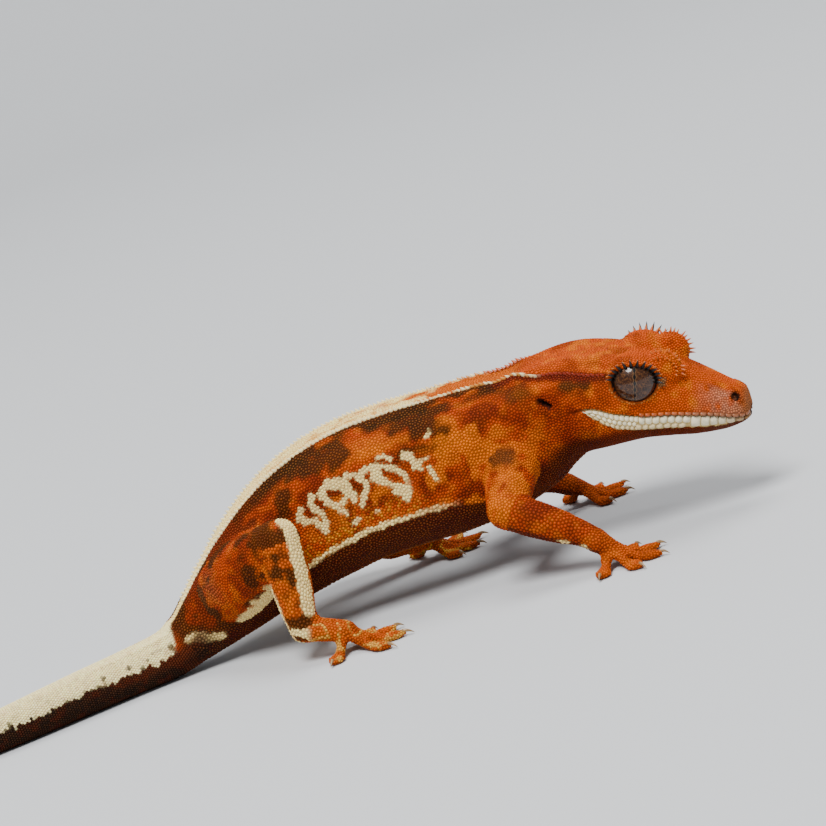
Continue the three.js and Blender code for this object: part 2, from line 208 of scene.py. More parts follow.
# How far the mouth lies below the middle line, from the snout tip back to its corner.
MOUTH = np.array([-1.0, -1.3, -1.15, -0.75, -0.75, -0.95, -1.25, -0.5, 1.0, 0.8, 0.8])[:, None]
MOUTH_CORNER = 9.25
EYE_STATION = 6.35
EYE_RADIUS = 4.3
EYE_OFFSET = 5.2
EYE_HEIGHT = 4.3
ORBIT_RADIUS = 4.7
BROW = (3.4, 2.3, 3.4)
BROW_FORWARD = 4.8
BROW_RISE = 1.5
BROW_INSET = 0.8

LIMBS = {
    "front_right": dict(side=-1, heading=-12, root=(13.6, -5.0, 18.6), bend=(9.3, -16.6, 13.3),
                        wrist=(19.8, -20.4, 6.6), palm=(23.0, -21.2, 3.5)),
    "front_left": dict(side=1, heading=-8, root=(14.6, 5.6, 18.6), bend=(8.4, 17.0, 12.6),
                       wrist=(19.8, 20.8, 6.0), palm=(23.4, 21.6, 3.4)),
    "hind_right": dict(side=-1, heading=-6, root=(-37.6, -3.2, 12.4), bend=(-27.2, -13.8, 20.0),
                       wrist=(-28.0, -18.2, 5.6), palm=(-21.8, -19.4, 3.6)),
    "hind_left": dict(side=1, heading=-10, root=(-37.6, 4.0, 12.4), bend=(-23.4, 15.4, 14.8),
                      wrist=(-11.2, 17.6, 5.0), palm=(-4.6, 19.2, 3.4)),
}
FRONT_GIRTH = {"upper": (4.6, 4.2, 3.6), "lower": (3.4, 3.1, 2.5), "foot": (2.4, 2.9, 2.2)}
HIND_GIRTH = {"upper": (6.2, 5.6, 3.9), "lower": (3.8, 3.5, 2.7), "foot": (2.8, 2.7, 2.4)}
FRONT_TOES = ((-58, 8.2), (-22, 9.6), (14, 10.0), (50, 9.4), (104, 7.6))
HIND_TOES = ((-56, 8.0), (-24, 10.0), (8, 11.2), (40, 11.0), (112, 7.6))
TOE_START = 1.6
# A toe's middle height, half width and half thickness from its root to its claw.
TOE = np.array([
    [2.5, 1.25, 1.25], [1.75, 0.95, 1.0], [1.05, 0.9, 0.9], [0.72, 1.2, 0.75],
    [0.66, 1.6, 0.72], [0.62, 1.3, 0.65], [0.75, 0.4, 0.45], [0.4, 0.2, 0.25],
])
FOOT_FLATTENING = 0.72
BODY, UPPER, LOWER, FOOT, DIGIT = range(5)

CAMERA_DISTANCE = 500.0
CAMERA_LENS = 130.75
CAMERA_ELEVATION = math.radians(12)
FLOOR_RISE = math.radians(18.5)  # the floor rises to the right in the picture
CAMERA_TARGET_HEIGHT = 30.0


# Shapes of the body, in millimetres in the solids' own frame.

def through(rows, t):
    """Value at each place t of a smooth curve through a list of rows."""
    last = len(rows) - 1
    i = np.clip(np.floor(t).astype(int), 0, last - 1)
    u = (t - i)[:, None]
    p0, p1, p2, p3 = (rows[np.clip(i + k, 0, last)] for k in (-1, 0, 1, 2))
    ease = 3 * u**2 - 2 * u**3
    slopes = (p2 - p0) / 2 * (u - 2 * u**2 + u**3) + (p3 - p1) / 2 * (u**3 - u**2)
    return p1 * (1 - ease) + p2 * ease + slopes


def frame_at(t):
    """Centre, forward, left and up of the body's section at one station."""
    return [v[0] for v in body_frame(t)]


def unit(v):
    return v / np.maximum(np.linalg.norm(v, axis=-1, keepdims=True), 1e-12)


def half_turn(angle):
    """The same angle, between half a turn back and half a turn on."""
    return (angle + math.pi) % (2 * math.pi) - math.pi


def run_of(line):
    """Length of a line up to each of its points."""
    return np.r_[0, np.cumsum(np.linalg.norm(np.diff(line, axis=0), axis=1))]


def signed_power(v, p):
    return np.sign(v) * np.abs(v) ** p


def body_frame(t):
    """Centre, forward, left and up of the body's section at station numbers t."""
    t = np.atleast_1d(np.asarray(t, float))
    forward = unit(through(STATIONS[:, :3], t - 0.05) - through(STATIONS[:, :3], t + 0.05))
    left = unit(np.cross([0.0, 0.0, 1.0], forward))
    lean = np.radians(through(STATIONS[:, 8:9], t))
    left = left * np.cos(lean) + np.cross(forward, left) * np.sin(lean)
    return through(STATIONS[:, :3], t), forward, left, np.cross(forward, left)


def body_section(t, angle, grow=0.0):
    """Offsets to the left and upwards of the surface at station t and angle round from the spine."""
    w, h, low, flat, crest = through(STATIONS[:, 3:8], t).T
    c, s = np.cos(angle), np.sin(angle)
    squareness = np.where(c > 0, flat, BELLY_ROUNDNESS)
    turn = (np.abs(np.arctan2(s, c)) - CREST_ANGLE) / CREST_SPREAD
    ridge = crest * np.exp(-turn * turn)
    side = (w + grow) * signed_power(s, SIDE_ROUNDNESS) * (1 - low * c)
    height = (h + grow) * signed_power(c, squareness)
    return side + ridge * s, height + ridge * 0.8


def body_point(t, angle, grow=0.0):
    t, angle = np.broadcast_arrays(np.asarray(t, float), np.asarray(angle, float))
    shape = t.shape
    t, angle = t.ravel(), angle.ravel()
    centre, _, left, up = body_frame(t)
    side, height = body_section(t, angle, np.broadcast_to(grow, shape).ravel())
    return (centre + left * side[:, None] + up * height[:, None]).reshape(shape + (3,))


def angle_at_height(t, height, side):
    """Angle from the spine, on side -1 or 1, at which the surface is this high above the middle."""
    h, _, flat = through(STATIONS[:, 4:7], t).T
    share = np.clip(height / h, -1, 1)
    c = signed_power(share, 1 / np.where(share > 0, flat, BELLY_ROUNDNESS))
    return side * np.arccos(np.clip(c, -1, 1))


SPINE_T = np.linspace(0, LAST, 640)
SPINE_AT, SPINE_FORWARD, SPINE_LEFT, SPINE_UP = body_frame(SPINE_T)


def body_coordinates(points):
    """Station, angle and height above the surface of points near the body."""
    nearest = np.empty(len(points), int)
    for start in range(0, len(points), 4000):
        chunk = points[start:start + 4000]
        gaps = ((chunk[:, None, :] - SPINE_AT[None]) ** 2).sum(2)
        nearest[start:start + 4000] = gaps.argmin(1)
    offset = points - SPINE_AT[nearest]
    per_station = np.linalg.norm(np.gradient(SPINE_AT, SPINE_T, axis=0), axis=1)[nearest]
    t = SPINE_T[nearest] - (offset * SPINE_FORWARD[nearest]).sum(1) / per_station
    t = np.clip(t, 0, LAST)
    side = (offset * SPINE_LEFT[nearest]).sum(1)
    height = (offset * SPINE_UP[nearest]).sum(1)
    w, h, low, flat, _ = through(STATIONS[:, 3:8], t).T
    power = 1 / np.where(height > 0, flat, BELLY_ROUNDNESS)
    c = signed_power(height / h, power)
    s = signed_power(side / (w * (1 - low * np.clip(height / h, -1, 1))), 1 / SIDE_ROUNDNESS)
    angle = np.arctan2(s, c)
    at_side, at_height = body_section(t, angle)
    along = np.abs((offset * SPINE_FORWARD[nearest]).sum(1)) * ((t <= 0) | (t >= LAST))
    out = np.hypot(side, height) - np.hypot(at_side, at_height) + along
    return t, angle, out


def limb_parts():
    """Every length of the limbs: kind, limb name, start, end, girth, flattening, and a toe's number."""
    parts = []
    for name, limb in LIMBS.items():
        front = name.startswith("front")
        girth = FRONT_GIRTH if front else HIND_GIRTH
        ends = [np.array(limb[key], float) for key in ("root", "bend", "wrist", "palm")]
        for kind, key, a, b in ((UPPER, "upper", 0, 1), (LOWER, "lower", 1, 2), (FOOT, "foot", 2, 3)):
            flat = FOOT_FLATTENING if kind == FOOT else 1.0
            parts.append(dict(kind=kind, limb=name, a=ends[a], b=ends[b], girth=np.array(girth[key]),
                              flat=flat, digit=0))
        for number, (turn, length) in enumerate(FRONT_TOES if front else HIND_TOES):
            heading = math.radians(-limb["heading"] * limb["side"] + turn * limb["side"])
            along = np.array([math.cos(heading), math.sin(heading), 0.0])
            palm = np.array([limb["palm"][0], limb["palm"][1], 0.0])
            parts.append(dict(kind=DIGIT, limb=name, a=palm + along * TOE_START, b=palm + along * length,
                              girth=None, flat=1.0, digit=number + 1, along=along))
    return parts


PARTS = limb_parts()


def limb_axes(part):
    along = unit(part["b"] - part["a"])
    side = unit(np.cross([0.0, 0.0, 1.0], along))
    return along, side, np.cross(along, side)


def limb_surface(part, u, angle, grow):
    """Points of a limb's rounded length; u runs from -1, its rounded start, to 2, its rounded end."""
    along, side, up = limb_axes(part)
    within = np.clip(u, 0, 1)
    past = np.clip(np.where(u < 0, -u, u - 1), 0, 1)
    past = np.where((u >= 0) & (u <= 1), 0, past)
    radius = through(part["girth"][:, None], within * 2)[:, 0] + grow
    radius = radius * np.sqrt(1 - past**2)
    reach = np.where(u < 0, -past * (part["girth"][0] + grow), past * (part["girth"][-1] + grow))
    middle = part["a"] + (part["b"] - part["a"]) * within[:, None] + along * reach[:, None]
    return (
        middle
        + side * (radius * np.sin(angle))[:, None]
        + up * (radius * part["flat"] * np.cos(angle))[:, None]
    )


def digit_surface(part, t, angle, grow):
    """Points of a toe; t runs from 0 at its root to 7 at its claw's tip."""
    z, w, h = through(TOE, t).T
    span = np.linalg.norm(part["b"] - part["a"])
    across = np.array([-part["along"][1], part["along"][0], 0.0])
    sideways = across * ((w + grow) * np.sin(angle))[:, None]
    at = part["a"] + part["along"] * (span * t / 7)[:, None] + sideways
    at[:, 2] = z + (h + grow) * np.cos(angle)
    return at


def eye_place(side):
    """Centre of an eyeball, its outward, forward and upward directions."""
    centre, forward, left, up = frame_at(EYE_STATION)
    outward = unit(left * side + forward * 0.2 + up * 0.12)
    ahead = unit(forward - outward * forward.dot(outward))
    above = np.cross(outward, ahead) * side
    above = above * np.sign(above.dot(up))
    return centre + left * EYE_OFFSET * side + up * EYE_HEIGHT, outward, ahead, above


EYES = {-1: eye_place(-1), 1: eye_place(1)}


def brow_place(side):
    """Centre of the ridge over an eye."""
    _, forward, left, up = frame_at(EYE_STATION)
    return EYES[side][0] + up * BROW_RISE + forward * BROW_FORWARD - left * BROW_INSET * side


EYE_HALF_LENGTH = 3.6  # half the open eye's length and height
EYE_HALF_HEIGHT = 2.95


def opening(u, v):
    """How far out a place is in the eye's opening: 1 at its edge, which is flatter above."""
    return np.hypot(u / EYE_HALF_LENGTH, v / np.where(v > 0, EYE_HALF_HEIGHT - 0.2, EYE_HALF_HEIGHT))


def eye_distance(points):
    """Distance from the nearer eye's opening, 1 at its edge, with its upward share and side."""
    best = np.full(len(points), 99.0)
    high = np.zeros(len(points))
    which = np.zeros(len(points), int)
    for side, (centre, outward, ahead, above) in EYES.items():
        offset = points - centre
        u, v, out = offset @ ahead, offset @ above, offset @ outward
        q = np.where(out > 0.4, opening(u, v), 99.0)
        closer = q < best
        best = np.where(closer, q, best)
        high = np.where(closer, v / np.maximum(np.hypot(u, v), 1e-6), high)
        which = np.where(closer, side, which)
    return best, high, which


def classify(points):
    """Which part each point of the surface belongs to, its place along it and its angle round it."""
    t, angle, best = body_coordinates(points)
    owner = np.full(len(points), -1)
    along = t.copy()
    for index, part in enumerate(PARTS):
        axis, side, up = limb_axes(part)
        span = np.linalg.norm(part["b"] - part["a"])
        reach = 9.0 if part["kind"] != DIGIT else 3.0
        near = np.all(np.abs(points - (part["a"] + part["b"]) / 2) < span / 2 + reach, axis=1)
        p = points[near] - part["a"]
        u = np.clip(p @ axis / span, 0, 1)
        if part["kind"] == DIGIT:
            z, w, h = through(TOE, u * 7).T
            du, dv = p @ side, p[:, 2] - z
            gap = (np.hypot(du / w, dv / h) - 1) * np.minimum(w, h)
            past = np.abs(p @ axis - u * span)
            gap = gap + past
            start = u * 7
        else:
            radius = through(part["girth"][:, None], u * 2)[:, 0]
            rest = p - axis * (u * span)[:, None]
            du, dv, dw = rest @ side, rest @ up / part["flat"], rest @ axis
            gap = np.sqrt(du**2 + dv**2 + dw**2) - radius
            start = u
        better = gap < best[near]
        rows = np.flatnonzero(near)[better]
        best[rows] = gap[better]
        owner[rows] = index
        along[rows] = start[better]
        angle[rows] = np.arctan2(du, dv)[better]
    return owner, along, angle


def row_shift():
    """From the solids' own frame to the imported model's, by the middle of the two eyeballs."""
    boxes = [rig.box(f"eye_{s}") for s in ("right", "left")]
    found = sum((np.array(low) + np.array(high) for low, high in boxes)) / 4
    drawn = (EYES[-1][0] + EYES[1][0]) / 2 * MM
    return found - drawn


SHIFT = row_shift()


# Noise, colours and nodes.

def linear(hex_colour):
    """An sRGB hex colour as linear red, green, blue and alpha."""
    parts = [int(hex_colour[i:i + 2], 16) / 255 for i in (0, 2, 4)]
    return tuple(c / 12.92 if c <= 0.04045 else ((c + 0.055) / 1.055) ** 2.4 for c in parts) + (1.0,)


def rgb(hex_colour):
    return np.array(linear(hex_colour)[:3])


def hashed(cell, salt):
    n = cell[..., 0] * 73856093 ^ cell[..., 1] * 19349663 ^ cell[..., 2] * 83492791 ^ (salt * 2654435761)
    n = (n ^ (n >> 13)) * 1274126177 & 0x7FFFFFFF
    return ((n ^ (n >> 16)) & 0xFFFFFF) / 0xFFFFFF


def noise(points, size, salt=0):
    """Smooth value noise from 0 to 1 with grains about size millimetres across."""
    p = points / size + 100.0
    cell = np.floor(p).astype(np.int64)
    f = p - cell
    f = f * f * (3 - 2 * f)
    total = np.zeros(len(points))
    for corner in np.ndindex(2, 2, 2):
        weight = np.prod(np.where(np.array(corner) == 1, f, 1 - f), axis=1)
        total += weight * hashed(cell + np.array(corner), salt)
    return total


def clouds(points, size, salt=0):
    """Noise of three grain sizes."""
    return (noise(points, size, salt) * 4 + noise(points, size / 2, salt + 1) * 2
            + noise(points, size / 4, salt + 2)) / 7


def ramp(value, low, high):
    u = np.clip((value - low) / (high - low), 0, 1)
    return u * u * (3 - 2 * u)


def blend(base, colour, share):
    share = np.clip(share, 0, 1)[:, None]
    return base * (1 - share) + colour * share


# The pattern.

RUST = rgb("B03E00")
AMBER = rgb("D06800")
BRICK = rgb("762200")
MAROON = rgb("471200")
OLIVE = rgb("3C2000")
UMBER = rgb("241206")
CREAM = rgb("FCDD92")
IVORY = rgb("FFE8B0")
PINK = rgb("BC7858")
TAN = rgb("946028")
SOOT = rgb("0C0706")

# Cream strokes on the flank, each a line through places given as station and degrees from the spine,
# with its half width in millimetres.
FLANK_STROKES = (
    ((16.46, 81), (16.66, 83), (16.64, 87.8), (16.54, 89.5), (16.38, 89.5), (16.2, 89), (16.2, 86.8),
     (16.34, 84.5), (16.46, 81), 0.5),
    ((16.4, 80.2), (16.2, 82), (16.1, 86.8), (16.1, 89.8), 0.45),
    ((16.52, 89.8), (16.4, 90.4), 0.4),
    ((16.86, 82), (16.96, 84.8), (16.96, 88), (16.88, 89.5), (16.92, 90.5), 0.45),
    ((17.22, 84.2), (17.34, 86.5), (17.28, 89), (17.1, 89.5), (17.02, 92.8), 0.5),
    ((16.04, 81.5), (15.92, 83.2), (15.84, 86.2), (15.78, 88.2), (15.8, 89.2), (16.0, 90.2), 0.45),
    ((15.78, 84), (15.66, 82.8), (15.56, 82.8), (15.38, 84.2), 0.5),
    ((15.44, 83.5), (15.5, 87), (15.46, 88.8), 0.7),
    ((15.56, 85.5), (15.58, 87.8), (15.44, 89.2), (15.28, 89.8), (14.94, 90), 0.45),
    ((15.32, 84.5), (15.18, 86.2), (15.04, 87.8), (14.9, 89.8), (14.94, 91.2), (15, 93.8), 0.4),
    ((15.36, 78.5), (15.22, 79), (15.14, 81.8), 0.4),
    ((15.24, 90), (15.1, 91.5), (15.06, 96), 0.5),
    ((14.84, 82.5), (14.74, 84), 0.65),
    ((14.7, 87.2), (14.62, 88.5), 0.65),
    ((14.52, 87.2), (14.42, 86.8), 0.35),
    ((14.42, 89), (14.34, 90.2), 0.35),
    ((14.18, 68.2), (14.22, 70.8), (14.32, 75), 0.3),
    ((16.36, 99.5), (16.2, 97.8), 0.3),
    ((15.76, 97.8), (15.74, 98), 0.25),
)
# Ends of the dusky patch behind each eye, and the pale line before each vent.
TEMPLE = ((8.1, 69), (8.9, 68))
VENT_MARK = ((21.05, 116), (21.45, 102), (21.75, 86), (22.1, 80))


def polyline_gap(points, line):
    """Distance of points from a line."""
    best = np.full(len(points), 99.0)
    for a, b in zip(line, line[1:]):
        run = b - a
        u = np.clip((points - a) @ run / max(run @ run, 1e-9), 0, 1)
        best = np.minimum(best, np.linalg.norm(points - a - u[:, None] * run, axis=1))
    return best


def line_gap(points, places, side=0):
    """Distance of points from a line through places on the body, on both sides if side is 0."""
    t, degrees = np.array(places, float).T
    lines = [body_point(t, np.radians(degrees) * turn) for turn in ([side] if side else [1, -1])]
    return np.min([polyline_gap(points, line) for line in lines], axis=0)


def body_colour(points, t, angle):
    degrees = np.degrees(np.abs(angle))
    cloud = clouds(points, 4.0, 1)
    fine = clouds(points, 1.2, 5)
    streak = clouds(points * [0.5, 1, 1], 2.6, 9)
    crest = crest_degrees(t)
    colour = np.tile(RUST, (len(points), 1))
    colour = blend(colour, AMBER, ramp(fine, 0.45, 0.75) * 0.5)
    colour = blend(colour, AMBER,
                   ramp(cloud, 0.5, 0.36) * ramp(t, 17, 14.5) * ramp(degrees, 45, 62) * 0.7)
    colour = blend(colour, BRICK, ramp(cloud, 0.5, 0.66) * 0.85)
    # Dark marbling below the crest of the back, from the neck to the hip.
    trunk = ramp(t, 10.8, 12.0) * ramp(t, 23.5, 21.0)
    under_crest = ramp(degrees - crest, -1.0, 1.5) * ramp(degrees - crest, 30, 14)
    colour = blend(colour, OLIVE, trunk * under_crest * ramp(streak, 0.26, 0.44) * 0.92)
    patches = ramp(clouds(points, 3.6, 21), 0.49, 0.62) * ramp(t, 12.6, 13.6) * ramp(degrees, 92, 78)
    colour = blend(colour, OLIVE, patches * 0.85 * ramp(degrees, 36, 40))
    warm = ramp(clouds(points, 4.2, 27), 0.56, 0.66) * ramp(t, 17.5, 16) * ramp(t, 11.5, 12.5)
    colour = blend(colour, rgb("DE7000"), warm * ramp(degrees, 60, 78) * 0.75)
    hips = ramp(t, 17.4, 19.0) * ramp(t, 23, 22)
    colour = blend(colour, BRICK, hips * 0.75)
    colour = blend(colour, OLIVE, hips * ramp(clouds(points, 5.0, 31), 0.50, 0.60) * 0.8)
    # Above the ventrolateral line the granules are tipped with yellow.
    line = 111 + 8 * ramp(t, 14.3, 13.4)
    low = ramp(degrees - line, -24, -6) * ramp(t, 14.2, 15.5) * ramp(t, 18.6, 17.8)
    speck = hashed(np.floor(points / 0.42).astype(np.int64), 33)
    colour = blend(colour, rgb("D68A1E"), low * ramp(speck, 0.5, 0.8) * 0.75)
    # The belly is dark red-brown below the line, and dull tan underneath.
    belly = ramp(degrees - line, 0, 3) * ramp(t, 11.0, 12.6) * ramp(t, 22.5, 21)
    colour = blend(colour, MAROON, belly * 0.95)
    underside = ramp(degrees, 152, 172) * ramp(t, 9, 12) * ramp(t, 24, 21)
    colour = blend(colour, TAN, underside * 0.7)
    edge = np.abs(degrees - line) / 2.4 + (fine - 0.5) * 1.6
    strong = 0.55 + 0.45 * ramp(t, 14.2, 15.6)
    colour = blend(colour, CREAM,
                   ramp(edge, 1.25, 0.8) * ramp(t, 13.9, 14.5) * ramp(t, 18.7, 18.2) * strong)
    for side in (-1, 1):
        for stroke in FLANK_STROKES:
            places, width = stroke[:-1], stroke[-1]
            near = np.abs(t - places[0][0]) < 1.3
            near &= angle * side > 0.6
            share = np.zeros(len(points))
            gap = line_gap(points[near], places, side) + (noise(points[near], 0.7, 40) - 0.5) * 0.6
            share[near] = ramp(gap, width * 1.1 + 0.15, width * 1.1 - 0.05)
            colour = blend(colour, CREAM, share)
    # The back between the crests: orange to the shoulders and cream behind them.
    inside = ramp(degrees - crest, 0.5, -1.5)
    back = inside * ramp(t, 10.3, 11.2)
    colour = blend(colour, rgb("C65C08"), back)
    pale = ramp(t + (noise(points, 2.2, 51) - 0.5) * 3.4, 13.8, 15.0)
    golden = blend(np.tile(CREAM, (len(points), 1)), rgb("D89030"),
                   ramp(fine, 0.50, 0.68) * ramp(t, 19, 16) * 0.75)
    colour = blend(colour, golden, back * pale * ramp(t, 24, 23))
    width = 3.5 + 3.0 * ramp(t, 13, 15)
    start = np.where(angle > 0, 1.9, 0.0)
    stripe = inside * ramp(degrees - crest + width, -1.6, 0.6) * ramp(t - start, 9.9, 10.3)
    stripe = stripe * np.maximum(ramp(noise(points, 0.9, 53), 0.35, 0.6), ramp(t, 13, 15))
    colour = blend(colour, CREAM, stripe)
    rear = ramp(degrees, 16, 11) * ramp(t, 19.5, 20.5)
    colour = blend(colour, CREAM, rear)
    vent = line_gap(points, VENT_MARK)
    colour = blend(colour, CREAM, ramp(vent + (fine - 0.5) * 1.2, 1.0, 0.5))
    return tail_colour(head_colour(colour, points, t, degrees), points, t, degrees, fine)


def tail_colour(colour, points, t, degrees, fine):
    ragged = (noise(points, 1.1, 60) - 0.5) * 9 + (noise(points * [1, 0.5, 0.5], 0.45, 62) - 0.5) * 16
    top = ramp(degrees + ragged, 84, 79)
    tail = ramp(t - 0.6 * np.clip(degrees / 60, 0, 1.4), 21.95, 22.2)
    dark = blend(np.tile(UMBER, (len(points), 1)), MAROON, ramp(fine, 0.45, 0.7) * 0.6)
    spots = ramp(noise(points, 1.1, 71), 0.74, 0.80) * ramp(degrees, 48, 62)
    pale = blend(np.tile(rgb("FAE8AC"), (len(points), 1)), UMBER, spots * 0.85)
    pale = blend(pale, TAN, ramp(fine, 0.55, 0.85) * 0.3)
    dark = blend(dark, rgb("5C2206"), ramp(t, 25.5, 22.5) * ramp(degrees, 120, 80) * 0.7)
    below = ramp(degrees, 76, 88) * ramp(t, 20.9, 21.7)
    colour = blend(colour, dark, below * 0.9)
    return blend(colour, blend(dark, pale, top), tail)


def head_colour(colour, points, t, degrees):
    head = ramp(t, 11.0, 9.8)
    bright = np.tile(rgb("C44C00"), (len(points), 1))
    bright = blend(bright, rgb("D86E00"), ramp(clouds(points, 2.2, 81), 0.48, 0.7) * 0.75)
    bright = blend(bright, rgb("943400"), ramp(clouds(points, 3.0, 85), 0.52, 0.7) * 0.75)
    colour = blend(colour, bright, head)
    # A red cheek, a dusky temple behind the eye, and a dark red line under the head's own crest.
    cheek = ramp(t, 7.4, 8.6) * ramp(t, 12.5, 10.8) * ramp(degrees, 62, 76)
    colour = blend(colour, rgb("7E2000"), cheek * (0.35 + 0.45 * ramp(clouds(points, 2.4, 87), 0.4, 0.6)))
    temple = line_gap(points, TEMPLE)
    temple = temple + (clouds(points, 1.4, 90) - 0.5) * 2.4
    colour = blend(colour, rgb("4A2A04"), ramp(temple, 1.9, 0.6) * 0.85)
    # The dark red line under the crest is partly the skin's own colour and partly painted shade beneath the ridge.
    crest = crest_degrees(t)
    under = ramp(degrees - crest, -5, -1) * ramp(degrees - crest, 19.0, 7.0)
    colour = blend(colour, rgb("5A0E00"), under * ramp(t, 6.9, 7.3) * ramp(t, 12.3, 11.5) * 0.9)
    # A dusky patch behind the ear: partly the neck's own colour and partly painted shade of its folds.
    behind = ramp(t, 10.2, 10.7) * ramp(t, 12.0, 11.3) * ramp(degrees, 40, 46) * ramp(degrees, 76, 66)
    colour = blend(colour, rgb("3C1E04"), behind * 0.7)
    # Pink and grey-brown at the muzzle, dark red-brown under the chin and throat.
    muzzle = ramp(t, 4.6, 2.8) * ramp(degrees, 32, 50) * ramp(clouds(points, 1.8, 93), 0.25, 0.5)
    colour = blend(colour, PINK, muzzle * 0.8)
    colour = blend(colour, rgb("9C5C30"), ramp(t, 1.9, 0.9) * 0.85)
    throat = ramp(degrees, 104, 124) * ramp(t, 12.8, 11.5)
    colour = blend(colour, MAROON, throat * 0.85)
    # Painted shade: the nostrils and ear slits are near black inside.
    for side in (-1, 1):
        hole = spot(NOSTRIL, side, -0.4)
        colour = blend(colour, SOOT, ramp(np.linalg.norm(points - hole, axis=1), 0.95, 0.6))
        along_slit, across_slit, near = ear_place(points, side)
        dark = ramp(np.abs(across_slit), 0.6, 0.3) * ramp(np.abs(along_slit), 1.6, 1.0) * near
        colour = blend(colour, SOOT, dark)
    return colour


CREST_PLACES = ((7.0, 60), (8, 56), (9, 50), (10, 42), (10.5, 30), (11, 21), (11.5, 24), (12, 24), (13, 26),
                (14, 26), (15, 27), (16, 27), (17, 27), (18, 25), (19, 21), (20, 16), (21.5, 12))


def crest_degrees(t):
    """How far round from the spine the crest of the head and back lies."""
    return np.interp(t, *np.array(CREST_PLACES, float).T)


NOSTRIL = (1.98, 50)  # station, and degrees round from the spine
EAR = (10.2, 83)


def spot(place, side, grow=0.0):
    return body_point(np.array([place[0]]), np.array([math.radians(place[1]) * side]), grow)[0]


def ear_place(points, side):
    """How far points lie along and across the ear's slit, and whether they are on this side."""
    _, forward, _, up = frame_at(EAR[0])
    offset = points - spot(EAR, side, -0.2)
    near = np.linalg.norm(offset, axis=1) < 4
    return offset @ unit(up * 0.85 - forward * 0.53), offset @ unit(forward * 0.85 + up * 0.53), near


def lip_depth(t):
    """Height of the lower lip's pale band below the mouth, in millimetres."""
    return np.interp(t, (0.5, 1.6, 2.5, 3.4, 4.6, 5.6, 6.9, 7.5, 8.0, 8.3),
                     (0.4, 0.7, 1.2, 1.8, 2.2, 2.3, 2.5, 2.2, 1.3, 0.2))


def lip_colour(points, t, above_mouth, colour):
    """Cream along the lower lip, which is broad and pebbled towards the mouth's corner."""
    edge = above_mouth + lip_depth(t) + (noise(points, 0.6, 97) - 0.5) * 0.7
    lower = ramp(above_mouth, 0.05, -0.05) * ramp(edge, -0.1, 0.2) * ramp(t, 8.45, 8.2)
    lower = lower * ramp(t, 0.8, 2.6)
    return blend(colour, CREAM, lower * 0.95)


def leg_stripe(points, name):
    """Distance from the line that runs over the knee's top and down the front of the shin."""
    upper, lower = (part for part in PARTS if part["limb"] == name and part["kind"] in (UPPER, LOWER))
    side = LIMBS[name]["side"]
    along = limb_axes(lower)[0]
    facing = np.array([1.0, 0, 0]) - along * along[0]
    outer = np.array([0, side, 0]) - along * along[1] * side
    facing = unit(unit(facing) * 0.75 + unit(outer) * 0.75)
    top = upper["b"] + unit(-along * 0.8 + facing * 0.65) * upper["girth"][2]
    line = [top, upper["b"] + unit(facing - along * 0.3) * upper["girth"][2]]
    for u in (0.15, 0.35, 0.6, 0.8):
        radius = through(lower["girth"][:, None], np.array([u * 2.0]))[0, 0]
        line.append(lower["a"] + (lower["b"] - lower["a"]) * u + facing * radius)
    return polyline_gap(points, line)


def band(value, low, high, soft):
    """1 between low and high, fading over soft at both ends."""
    return ramp(value, low - soft, low + soft) * ramp(value, high + soft, high - soft)


